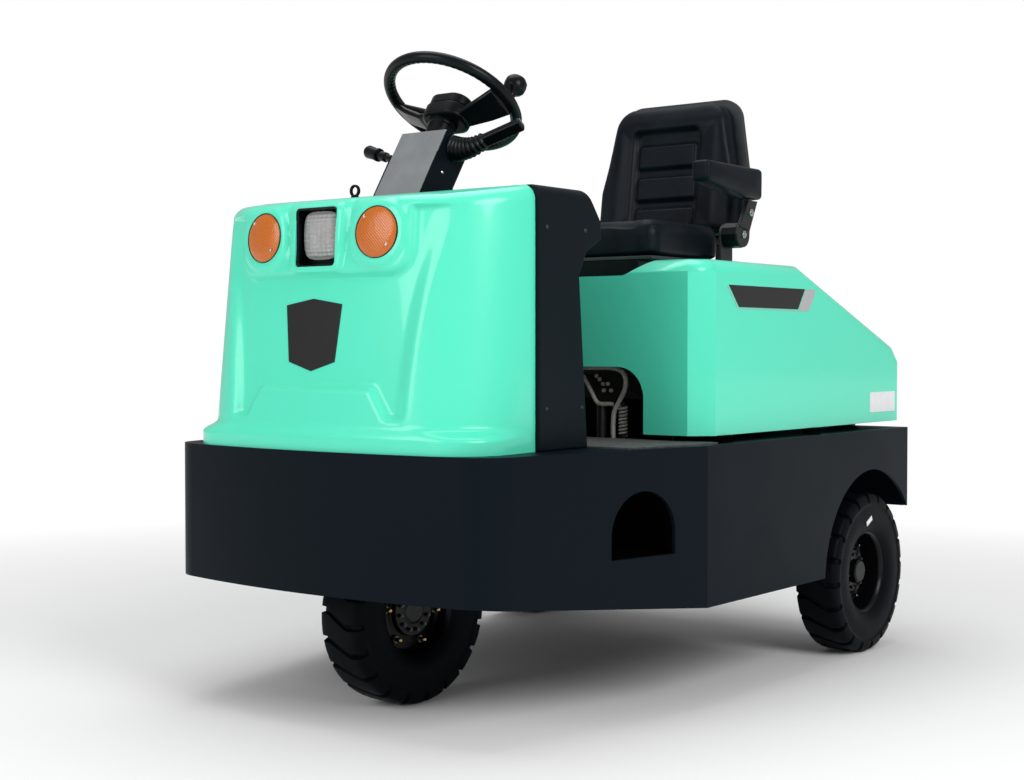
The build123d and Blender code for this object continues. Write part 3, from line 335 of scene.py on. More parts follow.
def texture_of(tree, kind, scale):
    """A texture on object coordinates."""
    place = tree.nodes.new("ShaderNodeTexCoord")
    texture = tree.nodes.new(kind)
    texture.inputs["Scale"].default_value = scale
    tree.links.new(place.outputs["Object"], texture.inputs["Vector"])
    return texture


def noise_of(tree, scale, detail=4.0, roughness=0.6):
    """Noise of a scale."""
    texture = texture_of(tree, "ShaderNodeTexNoise", scale)
    texture.inputs["Detail"].default_value = detail
    texture.inputs["Roughness"].default_value = roughness
    return texture.outputs["Fac"]


def bands_of(tree, direction, scale, distortion=0.0):
    """Waves across one direction."""
    texture = texture_of(tree, "ShaderNodeTexWave", scale)
    texture.wave_type = "BANDS"
    texture.bands_direction = direction
    texture.inputs["Distortion"].default_value = distortion
    return texture.outputs["Fac"]


def tinted(colour, factor):
    """A colour made lighter or darker."""
    return tuple(min(1.0, c * factor) for c in colour)


def shade(tree, shader, value, colour, low, high):
    """Lets a value choose between a darker and a lighter tint of a colour."""
    node = tree.nodes.new("ShaderNodeValToRGB")
    for stop, position, factor in zip(node.color_ramp.elements, (0.35, 0.65), (low, high)):
        stop.position = position
        stop.color = (*tinted(colour, factor), 1)
    tree.links.new(value, node.inputs["Fac"])
    tree.links.new(node.outputs["Color"], shader.inputs["Base Color"])


def spread(tree, value, low, high, start_at=0.3, end_at=0.7):
    """A value mapped from one range to another."""
    node = tree.nodes.new("ShaderNodeMapRange")
    node.inputs["From Min"].default_value = start_at
    node.inputs["From Max"].default_value = end_at
    node.inputs["To Min"].default_value = low
    node.inputs["To Max"].default_value = high
    tree.links.new(value, node.inputs["Value"])
    return node.outputs["Result"]


def roughen(tree, shader, value, low, high):
    """Lets a value choose the roughness between two numbers."""
    tree.links.new(spread(tree, value, low, high), shader.inputs["Roughness"])


def bump(tree, shader, value, depth, strength=1.0, after=None):
    """Bump from a value, with a depth in mm, on top of another bump."""
    node = tree.nodes.new("ShaderNodeBump")
    node.inputs["Strength"].default_value = strength
    node.inputs["Distance"].default_value = depth * MM
    tree.links.new(value, node.inputs["Height"])
    if after is not None:
        tree.links.new(after, node.inputs["Normal"])
    tree.links.new(node.outputs["Normal"], shader.inputs["Normal"])
    return node.outputs["Normal"]


def paint(name, colour, roughness, coat, grain_scale, grain_depth, sheen_low=0.8, specular=0.5):
    """A painted surface with slight unevenness in colour, gloss and level."""
    tree, shader = finish_named(
        name, colour, roughness, Coat_Weight=coat, Coat_Roughness=0.06, Specular_IOR_Level=specular
    )
    cloud = noise_of(tree, 1.6, 1.0)
    shade(tree, shader, cloud, colour, 0.993, 1.004)
    smear = noise_of(tree, 2.5, 2.0, 0.5)
    glossy, dull = roughness * sheen_low, roughness * (2 - sheen_low)
    roughen(tree, shader, smear, glossy, dull)
    if grain_depth > 0:
        bump(tree, shader, noise_of(tree, grain_scale, 2.0), grain_depth)


def moulding(name, colour, roughness, grain_scale=900.0, grain_depth=0.04, specular=0.3):
    """A moulded plastic or rubber surface with a fine grain and lighter scuffs."""
    tree, shader = finish_named(name, colour, roughness, Specular_IOR_Level=specular)
    cloud = noise_of(tree, 14.0, 6.0, 0.7)
    shade(tree, shader, cloud, colour, 0.9, 1.2)
    roughen(tree, shader, cloud, roughness * 0.85, roughness * 1.15)
    bump(tree, shader, noise_of(tree, grain_scale, 2.0), grain_depth)


def metal(name, colour, roughness, metallic=1.0):
    """A bare or plated metal with fine streaks."""
    tree, shader = finish_named(name, colour, roughness, Metallic=metallic)
    streak = noise_of(tree, 160.0)
    shade(tree, shader, streak, colour, 0.8, 1.1)
    roughen(tree, shader, streak, roughness * 0.8, roughness * 1.3)
    bump(tree, shader, streak, 0.05)


def make_finishes(sizes):
    """Makes every material."""
    green = tuple(sizes.green)
    dark = tuple(sizes.chassis)
    paint("green_paint", green, 0.3, 0.4, 60.0, 0.0, 0.98, 0.35)
    paint("chassis_paint", dark, 0.45, 0.0, 300.0, 0.02, 0.85, 0.06)
    paint("dash_coat", dark, 0.42, 0.0, 300.0, 0.02, 0.85, 0.08)
    paint("rim_paint", (0.002, 0.0022, 0.003), 0.3, 0.0, 200.0, 0.03, 0.8, 0.2)
    moulding("black_plastic", (0.0022, 0.003, 0.0042), 0.3, specular=0.17)
    # Near-black with almost no gloss: painted shade for the step pockets' insides and for the gap at the
    # hood buffers.
    moulding("pit_black", (0.0006, 0.0006, 0.0007), 0.9, specular=0.02)
    metal("pale_zinc", (0.66, 0.64, 0.58), 0.4, 0.15)
    moulding("grey_shell", (0.03, 0.032, 0.036), 0.5)
    moulding("tyre_rubber", (0.0022, 0.0032, 0.0046), 0.45, 500.0, 0.1, 0.045)
    metal("dark_metal", (0.035, 0.036, 0.038), 0.45, 0.7)
    metal("plated_steel", (0.62, 0.61, 0.58), 0.22)
    metal("mirror_steel", (0.85, 0.85, 0.86), 0.1)
    metal("bolt_steel", (0.11, 0.112, 0.12), 0.3)
    metal("aged_steel", (0.05, 0.05, 0.052), 0.4, 0.8)
    metal("brass_tip", (0.62, 0.42, 0.14), 0.3)
    metal("battery_case", (0.05, 0.055, 0.06), 0.55, 0.2)
    vinyl()
    mat_rubber()
    lens("amber_lens", (0.60, 0.14, 0.003), 0.22)
    lens("red_lens", (0.45, 0.012, 0.010), 0.16)
    lens("bulb_amber", (0.85, 0.5, 0.08), 0.2)
    glass()
    column_paint()
    label("blank_dark_plate", (0.012, 0.012, 0.013), 0.4)
    label("blank_pale_plate", (0.82, 0.83, 0.84), 0.4)
    label("grey_plate", (0.42, 0.43, 0.44), 0.35)


def vinyl():
    """Black seat vinyl: a leather grain of small cells, softly shiny."""
    colour = (0.0030, 0.0054, 0.0088)
    tree, shader = finish_named("seat_vinyl", colour, 0.34, Specular_IOR_Level=0.11)
    cells = texture_of(tree, "ShaderNodeTexVoronoi", 520.0)
    worn = noise_of(tree, 7.0, 5.0, 0.65)
    shade(tree, shader, worn, colour, 0.8, 1.5)
    roughen(tree, shader, worn, 0.3, 0.46)
    first = bump(tree, shader, cells.outputs["Distance"], 0.12, 0.35)
    bump(tree, shader, noise_of(tree, 60.0, 3.0), 0.12, 0.3, first)


def mat_rubber():
    """Ribbed grey floor rubber."""
    colour = (0.055, 0.056, 0.058)
    tree, shader = finish_named("rubber_mat", colour, 0.7)
    dirt = noise_of(tree, 40.0, 6.0, 0.7)
    shade(tree, shader, dirt, colour, 0.6, 1.7)
    bump(tree, shader, noise_of(tree, 420.0, 4.0, 0.8), 0.5)


def lens(name, colour, roughness):
    """Clear coloured lamp plastic with prism bands."""
    tree, shader = finish_named(
        name, colour, roughness, Transmission_Weight=0.1, IOR=1.49, Coat_Weight=0.25, Coat_Roughness=0.05
    )
    prisms = bands_of(tree, "DIAGONAL", 85.0, 1.2)
    shade(tree, shader, prisms, colour, 0.84, 1.16)
    first = bump(tree, shader, prisms, 0.5, 0.5)
    second = bump(tree, shader, bands_of(tree, "Z", 60.0), 0.3, 0.4, first)
    bump(tree, shader, noise_of(tree, 22.0, 3.0), 0.3, 2.0, second)


def glass():
    """Clear headlamp lens."""
    colour = (0.60, 0.61, 0.60)
    tree, shader = finish_named(
        "lamp_glass", colour, 0.12, Transmission_Weight=0.55, IOR=1.5, Coat_Weight=0.5, Coat_Roughness=0.03
    )
    haze = noise_of(tree, 25.0, 3.0)
    shade(tree, shader, haze, colour, 0.93, 1.04)
    bump(tree, shader, haze, 0.05, 0.5)


def column_paint():
    """The column's grey paint."""
    colour = (0.20, 0.205, 0.215)
    tree, shader = finish_named("column_grey", colour, 0.36, Specular_IOR_Level=0.4)
    cloud = noise_of(tree, 20.0, 4.0)
    shade(tree, shader, cloud, colour, 0.92, 1.08)
    bump(tree, shader, noise_of(tree, 700.0, 2.0), 0.05)


def label(name, colour, roughness):
    """A blank plate's film."""
    tree, shader = finish_named(name, colour, roughness, Specular_IOR_Level=0.25)
    cloud = noise_of(tree, 50.0, 2.0)
    shade(tree, shader, cloud, colour, 0.97, 1.03)
    bump(tree, shader, cloud, 0.03, 0.5)


# A slot's finish has the slot's name, apart from these slots and these nodes.
FINISH_OF_SLOT = {"tyre": "tyre_rubber", "steel": "plated_steel"}
FINISH_OF_NODE = {
    # The step pockets' insides get near-black painted shade.
    "step_pockets": "pit_black",
    "brake_quadrant": "aged_steel",
    "brake_spring": "aged_steel",
    # The hood buffers are black rubber, made near-black as painted shade for the gap under the hood.
    "hood_buffers": "pit_black",
}


class TugSizes(bpy.types.PropertyGroup):
    """Colours and sizes of the visible pieces."""

    green: bpy.props.FloatVectorProperty(
        name="Body green",
        description="Colour of the cowl and the hood",
        size=3,
        subtype="COLOR",
        min=0,
        max=1,
        default=(0.090, 0.78, 0.535),
    )
    chassis: bpy.props.FloatVectorProperty(
        name="Chassis paint",
        description="Colour of the chassis plates and the wheels",
        size=3,
        subtype="COLOR",
        min=0,
        max=1,
        default=(0.0030, 0.0064, 0.0102),
    )


class TUG_OT_finishes(bpy.types.Operator):
    """Makes the materials and gives them to the CAD pieces"""

    bl_idname = "tug.finishes"
    bl_label = "Finishes"

    def execute(self, context):
        make_finishes(context.scene.tug_sizes)
        for name, node in nodes.items():
            node.data.materials.clear()
            slot = slot_of[name]
            finish = FINISH_OF_NODE.get(name, FINISH_OF_SLOT.get(slot, slot))
            node.data.materials.append(finishes[finish])
        return {"FINISHED"}


def math_of(tree, operation, first, second):
    """Two values put together by an operation."""
    node = tree.nodes.new("ShaderNodeMath")
    node.operation = operation
    tree.links.new(first, node.inputs[0])
    tree.links.new(second, node.inputs[1])
    return node.outputs[0]


def seen_by(tree, *rays):
    """One for two kinds of rays and nought for the others."""
    path = tree.nodes.new("ShaderNodeLightPath")
    return math_of(tree, "MAXIMUM", *(path.outputs[f"Is {ray} Ray"] for ray in rays))


def glow(tree, kind, strength):
    """A plain white shader of a strength."""
    node = tree.nodes.new(kind)
    node.inputs["Color"].default_value = (1, 1, 1, 1)
    node.inputs["Strength"].default_value = strength
    return node


def show_mix(tree, amount, first, second, output):
    """Shows one shader or another by an amount."""
    mix = tree.nodes.new("ShaderNodeMixShader")
    for index, value in enumerate((amount, first.outputs[0], second.outputs[0])):
        tree.links.new(value, mix.inputs[index])
    tree.links.new(mix.outputs[0], tree.nodes[output].inputs["Surface"])


# The camera that the photo was matched with: place and turn in degrees.
CAMERA_LENS = 56.80
CAMERA_PLACE = (2.3778, at(-2444.6) * MM, 0.7935)
CAMERA_TILT, CAMERA_HEADING = 90 - 1.5383, 37.4016


class TUG_OT_stage(bpy.types.Operator):
    """Makes the floor, the lamps, the world and the camera"""

    bl_idname = "tug.stage"
    bl_label = "Stage"

    def execute(self, context):
        scene = context.scene
        scene.view_settings.view_transform = "Standard"
        floor = start("floor", "circle", vertices=96, radius=40, fill_type="NGON", location=(0, 0, 0))
        clear()
        tree, shader = finish_named("floor_white", (0.9, 0.9, 0.9), 0.9)
        place = tree.nodes.new("ShaderNodeTexCoord")
        length = tree.nodes.new("ShaderNodeVectorMath")
        length.operation = "LENGTH"
        tree.links.new(place.outputs["Object"], length.inputs[0])
        far = spread(tree, length.outputs["Value"], 0.0, 1.0, 1.3, 3.6)
        bright = glow(tree, "ShaderNodeEmission", 1.0)
        amount = math_of(tree, "MULTIPLY", far, seen_by(tree, "Camera", "Glossy"))
        show_mix(tree, amount, shader, bright, "Material Output")
        floor.data.materials.append(finishes["floor_white"])

        world = bpy.data.worlds.new("studio")
        scene.world = world
        world.use_nodes = True
        sky = world.node_tree
        soft = glow(sky, "ShaderNodeBackground", 0.42)
        white = glow(sky, "ShaderNodeBackground", 1.0)
        show_mix(sky, seen_by(sky, "Camera", "Transmission"), soft, white, "World Output")

        for name, place, aim, size, power in (
            ("key_lamp", (4.6, -1.6, 3.4), (0, 0, 0.6), 3.0, 150),
            ("front_lamp", (-1.0, -5.2, 2.6), (0, -0.4, 0.7), 3.2, 92),
            ("top_lamp", (-0.6, 0.2, 4.6), (0, 0, 0.5), 3.6, 80),
        ):
            lamp = bpy.data.lights.new(name, "AREA")
            lamp.shape = "DISK"
            lamp.size = size
            lamp.energy = power
            holder = bpy.data.objects.new(name, lamp)
            scene.collection.objects.link(holder)
            holder.location = place
            holder.rotation_euler = (Vector(aim) - Vector(place)).to_track_quat("-Z", "Y").to_euler()

        camera = bpy.data.cameras.new("camera")
        camera.lens = CAMERA_LENS
        camera.sensor_width = 36.0
        holder = bpy.data.objects.new("camera", camera)
        scene.collection.objects.link(holder)
        holder.location = CAMERA_PLACE
        holder.rotation_euler = (math.radians(CAMERA_TILT), 0, math.radians(CAMERA_HEADING))
        scene.camera = holder
        return {"FINISHED"}


def middle(node):
    """The middle of a node's box, in mm."""
    low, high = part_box(node)
    return (low + high) / 2 / MM


def body_of(node):
    """The body that a node rides on."""
    return nodes[node].parent.name.split(":", 1)[1]


def smooth(value):
    """A soft step from 0 to 1."""
    value = min(1.0, max(0.0, value))
    return value * value * (3 - 2 * value)


def between(value, table):
    """A value read off a table of pairs, with straight lines between them."""
    return float(np.interp(value, [pair[0] for pair in table], [pair[1] for pair in table]))


def rounded_box_distance(x, z, half_x, half_z, corner):
    """How far a point is outside a rounded rectangle round the origin."""
    dx, dz = abs(x) - half_x + corner, abs(z) - half_z + corner
    return math.hypot(max(dx, 0), max(dz, 0)) + min(max(dx, dz), 0) - corner


def sheet(name, columns, rows, place, merge=0.0):
    """A grid laid on a surface: place gives a point, in mm, from two shares of the way."""
    piece = start(name, "grid", x_subdivisions=columns, y_subdivisions=rows, size=2)
    shape = bmesh.from_edit_mesh(piece.data)
    for vertex in shape.verts:
        vertex.co = Vector(place((vertex.co.x + 1) / 2, (vertex.co.y + 1) / 2)) * MM
    bmesh.update_edit_mesh(piece.data)
    if merge:
        tidy_mesh(merge)
    clear()
    return piece


def softened(node, width, finish, segments=3, smooth_angle=35):
    """A copy of a CAD node with its hard edges rounded, shown in the node's place."""
    piece = twin_of(node, f"{node}_skin")
    merge_faces(piece, 1.5)
    bpy.ops.object.mode_set(mode="OBJECT")
    if width:
        round_edges(piece, width, segments)
    return settle(piece, finish, body_of(node), (node,), smooth_angle)


# The cowl's form
COWL_HALF = 402.0
COWL_BOW = 40.0
BOW_RADIUS = (COWL_HALF**2 + COWL_BOW**2) / (2 * COWL_BOW)
COWL_REAR = 218.0
COWL_EDGE = 32.0
COWL_HIGH = 1127.0
# The sunk panel: half widths at heights outside and inside its slope, its foot, and its depth.
RELIEF_OUTER = (
    (630, 240), (647, 253), (728, 262), (821, 274), (913, 290), (991, 312), (1055, 335), (1089, 358),
)
RELIEF_INNER = (
    (630, 219), (704, 219), (774, 226), (868, 238), (937, 251), (993, 264), (1051, 274), (1089, 282),
)
RELIEF_FOOT = ((0, 700), (156, 700), (196, 640), (270, 636))
RELIEF_DEPTH = 15.0
LAMP_X, LAMP_Z = 161.0, 1026.0
HEADLAMP_Z = 1020.0


def cowl_top(station):
    """The height of the cowl's top, which rises to the back."""
    return 1103 + 24 * max(0, station - 42) / 176


def cowl_section(height):
    """Corner line, corner radius, fillet centre and fillet start angle of the cowl's plan."""
    rise = (height - DECK) / 550
    corner, radius = 4 + 38 * rise, 178 + 50 * rise
    return fillet_of(corner, radius, COWL_HALF)


def fillet_of(corner, radius, half):
    """The numbers of a bowed front with rounded corners."""
    bow_centre = corner - COWL_BOW + BOW_RADIUS
    fillet = bow_centre - math.sqrt((BOW_RADIUS - radius) ** 2 - (half - radius) ** 2)
    turn = math.atan2(half - radius, bow_centre - fillet)
    return half, radius, bow_centre, fillet, turn


def plan_point(share, section, rear_half=None):
    """A point of a plan and its outward normal; the share runs from -1 to 1 round the front."""
    half, radius, bow_centre, fillet, turn = section
    side = 1 if share >= 0 else -1
    share = abs(share)
    last = math.acos(min(1, max(0, (fillet - COWL_REAR) / radius)))
    corner_length, side_length = radius * (last - turn), max(0, COWL_REAR - fillet)
    bow_end = 0.374
    corner_end = bow_end + (1 - bow_end) * corner_length / (corner_length + side_length)
    if share <= bow_end:
        angle = turn * share / bow_end
        x, y = BOW_RADIUS * math.sin(angle), bow_centre - BOW_RADIUS * math.cos(angle)
    elif share <= corner_end:
        angle = turn + (last - turn) * (share - bow_end) / (corner_end - bow_end)
        x, y = half - radius + radius * math.sin(angle), fillet - radius * math.cos(angle)
    else:
        angle = math.pi / 2
        step = (share - corner_end) / (1 - corner_end)
        x, y = half + ((rear_half or half) - half) * step, fillet + (COWL_REAR - fillet) * step
    return side * x, y, side * math.sin(angle), -math.cos(angle)


def cowl_front(x, height):
    """The station of the cowl's plain front at a width and height."""
    half, radius, bow_centre, fillet, turn = cowl_section(height)
    if abs(x) <= BOW_RADIUS * math.sin(turn):
        return bow_centre - math.sqrt(BOW_RADIUS**2 - x * x)
    return fillet - math.sqrt(max(radius**2 - (abs(x) - half + radius) ** 2, 0))


def above_foot(across, z):
    """How far a place is above the stepped lower edge of the sunk panel."""
    nearest = 1e9
    for (x0, z0), (x1, z1) in zip(RELIEF_FOOT, RELIEF_FOOT[1:]):
        dx, dz = x1 - x0, z1 - z0
        along = ((across - x0) * dx + (z - z0) * dz) / (dx**2 + dz**2)
        along = min(1.0, max(0.0, along))
        nearest = min(nearest, math.hypot(across - x0 - along * dx, z - z0 - along * dz))
    return math.copysign(nearest, z - between(across, RELIEF_FOOT))


def cowl_relief(x, z):
    """How far the surface stands back, in mm, at a place seen from the front."""
    across = abs(x)
    outer, inner = between(z, RELIEF_OUTER), between(z, RELIEF_INNER)
    side = smooth((outer - across) / (outer - inner))
    foot = smooth(above_foot(across, z) / 17)
    ledge = smooth((1083 - z) / 12)
    pod = smooth(rounded_box_distance(x, z - 1030, 236, 80, 42) / 16)
    back = RELIEF_DEPTH * side * foot * ledge * pod
    ring = math.hypot(across - LAMP_X, z - LAMP_Z)
    raised = 5.5 * smooth((77 - ring) / 11)
    boss = 6 * smooth((6 - rounded_box_distance(x, z - HEADLAMP_Z, 71, 71, 22)) / 9)
    valley_line = between(z, ((950, 76), (1080, 92)))
    valley = 4 * math.exp(-(((across - valley_line) / 7) ** 2)) * smooth((z - 955) / 40)
    return back - max(raised, boss) + valley * smooth((1130 - z) / 20)


def cowl_place(u, v):
    """A point of the cowl: up the wall, round the top edge and back over the top."""
    share = 2 * u - 1
    wall_end, edge_end = 0.68, 0.78
    top = cowl_top(plan_point(share, cowl_section(1090))[1])
    bend = top - COWL_EDGE
    if v <= wall_end:
        z = DECK + (bend - DECK) * v / wall_end
        x, y, nx, ny = plan_point(share, cowl_section(z))
        back = cowl_relief(x, z)
        foot_x, foot_y, _, _ = plan_point(share, fillet_of(-1, 120, 413), COWL_HALF)
        foot = smooth((632 - z) / 26)
        x, y = x - nx * back, y - ny * back
        x, y = x + (foot_x - x) * foot, y + (foot_y - y) * foot
        return x, at(y), z
    angle = math.pi / 2 * min(1, (v - wall_end) / (edge_end - wall_end))
    z = bend + COWL_EDGE * math.sin(angle)
    x, y, nx, ny = plan_point(share, cowl_section(min(z, top)))
    back = cowl_relief(x, z) * math.cos(angle) + COWL_EDGE * (1 - math.cos(angle))
    x, y = x - nx * back, y - ny * back
    y = min(y, COWL_REAR - 6 * (1 - abs(share)))
    if v > edge_end:
        step = (v - edge_end) / (1 - edge_end)
        rear_x = (COWL_HALF - COWL_EDGE) * share
        x, y = x + (rear_x - x) * step, y + (COWL_REAR - y) * step
        z += (cowl_top(y) - z) * smooth(step * 3)
    return x, at(y), z


def facing(x, z, lift):
    """The matrix that lays a piece made round the -Y axis on the cowl's front."""

    def spot(dx, dz):
        return Vector((x + dx, at(cowl_front(x + dx, z + dz)), z + dz))

    normal = (spot(1, 0) - spot(-1, 0)).cross(spot(0, 1) - spot(0, -1)).normalized()
    if normal.y > 0:
        normal.negate()
    return moved(*(spot(0, 0) + normal * lift)) @ normal.to_track_quat("-Y", "Z").to_matrix().to_4x4()


def round_box(name, low, high, corner):
    """A box with its four edges along Y rounded, left in edit mode."""
    piece = box(name, low, high)
    pick(piece, "EDGE", lambda middle, along: abs(along.y) > 0.9)
    bevel(corner, 5)
    return piece


class TUG_OT_cowl(bpy.types.Operator):
    """Makes the green cowl with its sunk panel, lamp rings and flared foot"""

    bl_idname = "tug.cowl"
    bl_label = "Cowl"

    def execute(self, context):
        cowl = sheet("cowl_skin", 210, 156, cowl_place, 0.3)
        change(cowl, "SOLIDIFY", thickness=4 * MM, offset=-1)
        for vertex in cowl.data.vertices:
            vertex.co.y = min(vertex.co.y, at(COWL_REAR) * MM)
            vertex.co.z = min(vertex.co.z, COWL_HIGH * MM)
        hole = round_box("cowl_hole", (-57.5, at(-80), 960.5), (57.5, at(80), 1083), 9)
        cut(cowl, hole)
        settle(cowl, "green_paint", "chassis", ("front_cowl",), 40)
        return {"FINISHED"}


DOME_PROFILE = (
    (-7.6, 0), (-7.4, 14), (-6.4, 28), (-4.8, 39), (-2.6, 47), (0, 51.6), (4, 52.2), (5, 30), (5, 0),
)


class TUG_OT_front_lamps(bpy.types.Operator):
    """Makes the two round amber lamps and the ribbed headlamp in its black bezel"""

    bl_idname = "tug.front_lamps"
    bl_label = "Front lamps"

    def execute(self, context):
        lens = lathe("lamp_dome", "Y", DOME_PROFILE, 72)
        edge = ((-0.4, 52.2), (-1.2, 53), (0, 54), (8, 54), (8, 52), (-0.4, 52.2))
        gasket = lathe("lamp_gasket", "Y", edge, 72)
        screw = lathe("lamp_screw", "Y", ((-2.2, 0), (-1.8, 2.2), (-0.4, 3.4), (2, 3.4), (2, 0)))
        for side, x in (("left", LAMP_X), ("right", -LAMP_X)):
            seat = facing(x + 3.5, LAMP_Z, 6.0)
            glass = copy(lens, f"amber_{side}", seat)
            settle(glass, "amber_lens", "chassis", (f"indicator_{side}",), 50)
            ring = copy(gasket, f"gasket_{side}", seat)
            settle(ring, "black_plastic", "chassis", (), 50)
            for index, (dx, dz) in enumerate(((-28, 32), (30, -27))):
                head = copy(screw, f"lamp_screw_{side}_{index}", seat @ moved(dx, -5.6, dz))
                settle(head, "plated_steel", "chassis", (), 40)
        for used in (lens, gasket, screw):
            bpy.data.objects.remove(used)

        bezel = round_box("bezel_ring", (-58.4, at(-8.5), 960), (58.4, at(34), 1084), 10)
        pick(bezel, "FACE", lambda middle, normal: normal.y < -0.9)
        bpy.ops.mesh.inset(thickness=5 * MM)
        shift((0, 3, 0))
        bpy.ops.mesh.extrude_region_move(TRANSFORM_OT_translate={"value": (0, 30 * MM, 0)})
        bpy.ops.object.mode_set(mode="OBJECT")
        round_edges(bezel, 1.2, 2)
        settle(bezel, "black_plastic", "chassis", ("headlamp_bezel",), 35)

        def lens_face(u, v):
            x, z = (2 * u - 1), (2 * v - 1)
            spread = 1 - 0.16 * abs(x) ** 2.5 * abs(z) ** 2.5
            px, pz = 51 * x * spread, 51 * z * spread
            dome = 11 * (1 - abs(x) ** 4) * (1 - abs(z) ** 4)
            rib = 0.9 * math.cos(pz * 2 * math.pi / 8.5)
            flute = 0.45 * math.cos(px * 2 * math.pi / 12)
            return px + 2.5, at(6 - dome - (rib + flute) * min(1, dome / 5)), HEADLAMP_Z + 6 + pz

        lens = sheet("headlamp_glass", 60, 90, lens_face)
        change(lens, "SOLIDIFY", thickness=3 * MM, offset=1 if lens.data.polygons[0].normal.y > 0 else -1)
        settle(lens, "lamp_glass", "chassis", ("headlamp_lens",), 60)

        def bowl(u, v):
            x, z = (2 * u - 1), (2 * v - 1)
            return 42 * x + 3, at(22 - 14 * (abs(x) ** 2.5 + abs(z) ** 2.5) / 2), HEADLAMP_Z + 6 + 43 * z

        mirror = sheet("headlamp_mirror", 24, 24, bowl)
        change(mirror, "SOLIDIFY", thickness=1.5 * MM, offset=0)
        settle(mirror, "mirror_steel", "chassis", (), 60)
        stem = ((4, 0), (5, 4), (9, 6), (20, 6), (24, 9), (30, 9), (30, 0))
        bulb = lathe("headlamp_bulb", "Y", stem, 24)
        bulb.data.transform(moved(-4, at(0), HEADLAMP_Z + 4))
        settle(bulb, "bulb_amber", "chassis", (), 40)
        return {"FINISHED"}


class TUG_OT_shield(bpy.types.Operator):
    """Makes the blank dark shield plate on the cowl"""

    bl_idname = "tug.shield"
    bl_label = "Blank shield plate"

    def execute(self, context):
        def face(u, v):
            x = 2 * u - 1
            low, high = 742 + 19.5 * abs(x), 894 - 12.5 * abs(x)
            z = low + (high - low) * v
            width = (67 + 14 * v) * x - 15
            return width, at(cowl_front(width, z) + RELIEF_DEPTH - 1.6), z

        shield = sheet("shield_plate", 24, 24, face)
        if shield.data.polygons[0].normal.y > 0:
            shield.data.flip_normals()
        change(shield, "SOLIDIFY", thickness=2.4 * MM, offset=-1)
        round_edges(shield, 0.7, 2, 50)
        settle(shield, "blank_dark_plate", "chassis", (), 35)
        return {"FINISHED"}


DASH_HALF = 411.6


class TUG_OT_dash(bpy.types.Operator):
    """Makes the dash moulding, its screws and the pull ring"""

    bl_idname = "tug.dash"
    bl_label = "Dash"

    def execute(self, context):
        softened("dash_panel", 4.5, "dash_coat", 4)
        screw = lathe("dash_screw_master", "Y", ((-2.5, 0), (-2.2, 3), (-0.5, 5), (1, 5), (1, 0)))
        for index, (station, height) in enumerate(((246, 664), (372, 664), (246, 1040), (384, 1040))):
            for side, name in ((1, "left"), (-1, "right")):
                spot = moved(side * DASH_HALF, at(station), height) @ rotated(90 * side, "Z")
                head = copy(screw, f"dash_screw_{index}_{name}", spot)
                settle(head, "dark_metal", "chassis", (), 40)
        bpy.data.objects.remove(screw)
        softened("pull_ring", 0.8, "black_plastic", 2, 50)
        return {"FINISHED"}


def spline(points):
    """A smooth path through points: gives a place for a share of the way."""
    points = [Vector(point) for point in points]
    points = [points[0] * 2 - points[1], *points, points[-1] * 2 - points[-2]]

    def place(share):
        span = min(max(share, 0.0), 1.0) * (len(points) - 3)
        index = min(int(span), len(points) - 4)
        a, b, c, d = points[index : index + 4]
        t = span - index
        return 0.5 * (
            2 * b + (c - a) * t + (2 * a - 5 * b + 4 * c - d) * t * t + (3 * b - a - 3 * c + d) * t**3
        )

    return place


def tube(name, path, radius, columns, rows):
    """A closed round bar along a path; the radius may change along it."""

    def place(u, v):
        share = min(max((u * columns - 1) / (columns - 2), 0.0), 1.0)
        middle = path(share)
        ahead = (path(min(share + 0.004, 1.0)) - path(max(share - 0.004, 0.0))).normalized()
        across = ahead.cross(Vector((0.0, 1.0, 0.08))).normalized()
        out = across.cross(ahead)
        size = 0.0 if u in (0.0, 1.0) else (radius(share) if callable(radius) else radius)
        turn = 2 * math.pi * v
        return middle + across * (size * math.cos(turn)) + out * (size * math.sin(turn))

    return sheet(name, columns, rows, place, 0.01)


def bar(name, start_at, end_at, width, thickness, edge):
    """A rounded flat bar between two points."""
    start_at, end_at = Vector(start_at), Vector(end_at)
    length = (end_at - start_at).length
    piece = box(name, (0, -width / 2, -thickness / 2), (length, width / 2, thickness / 2))
    clear()
    round_edges(piece, edge, 3)
    ahead = (end_at - start_at).normalized()
    up = ahead.cross(Vector((0, 1, 0))).normalized()
    across = up.cross(ahead)
    turn = Matrix((ahead, across, up)).transposed().to_4x4()
    bpy.ops.object.transform_apply(location=True, rotation=True, scale=True)
    piece.data.transform(Matrix.Translation(start_at * MM) @ turn)
    return piece


def hex_bolt(name, radius, height, stud=0.0, stud_radius=0.0):
    """A six-sided bolt or nut standing on the origin along +X, with a stud through it."""
    piece = start(name, "cylinder", vertices=6, radius=radius * MM, depth=height * MM)
    bpy.ops.transform.translate(value=(0, 0, height / 2 * MM))
    pick(piece, "FACE", lambda middle, normal: normal.z > 0.9)
    bevel(0.12 * radius, 2)
    clear()
    parts = [piece]
    if stud:
        rod = start(f"{name}_stud", "cylinder", vertices=20, radius=stud_radius * MM, depth=stud * MM)
        bpy.ops.transform.translate(value=(0, 0, (height + stud / 2) * MM))
        pick(rod, "FACE", lambda middle, normal: normal.z > 0.9)
        bevel(0.3 * stud_radius, 2)
        clear()
        parts.append(rod)
    whole = join(parts, name)
    whole.data.transform(rotated(90, "Y"))
    return whole


def paint_shade_on_faces(piece, finish, test):
    """Gives a second finish, as painted shade, to the faces whose centre, in mm, and normal pass a test."""
    piece.data.materials.append(finishes[finish])
    for face in piece.data.polygons:
        if test(face.center / MM, face.normal):
            face.material_index = len(piece.data.materials) - 1


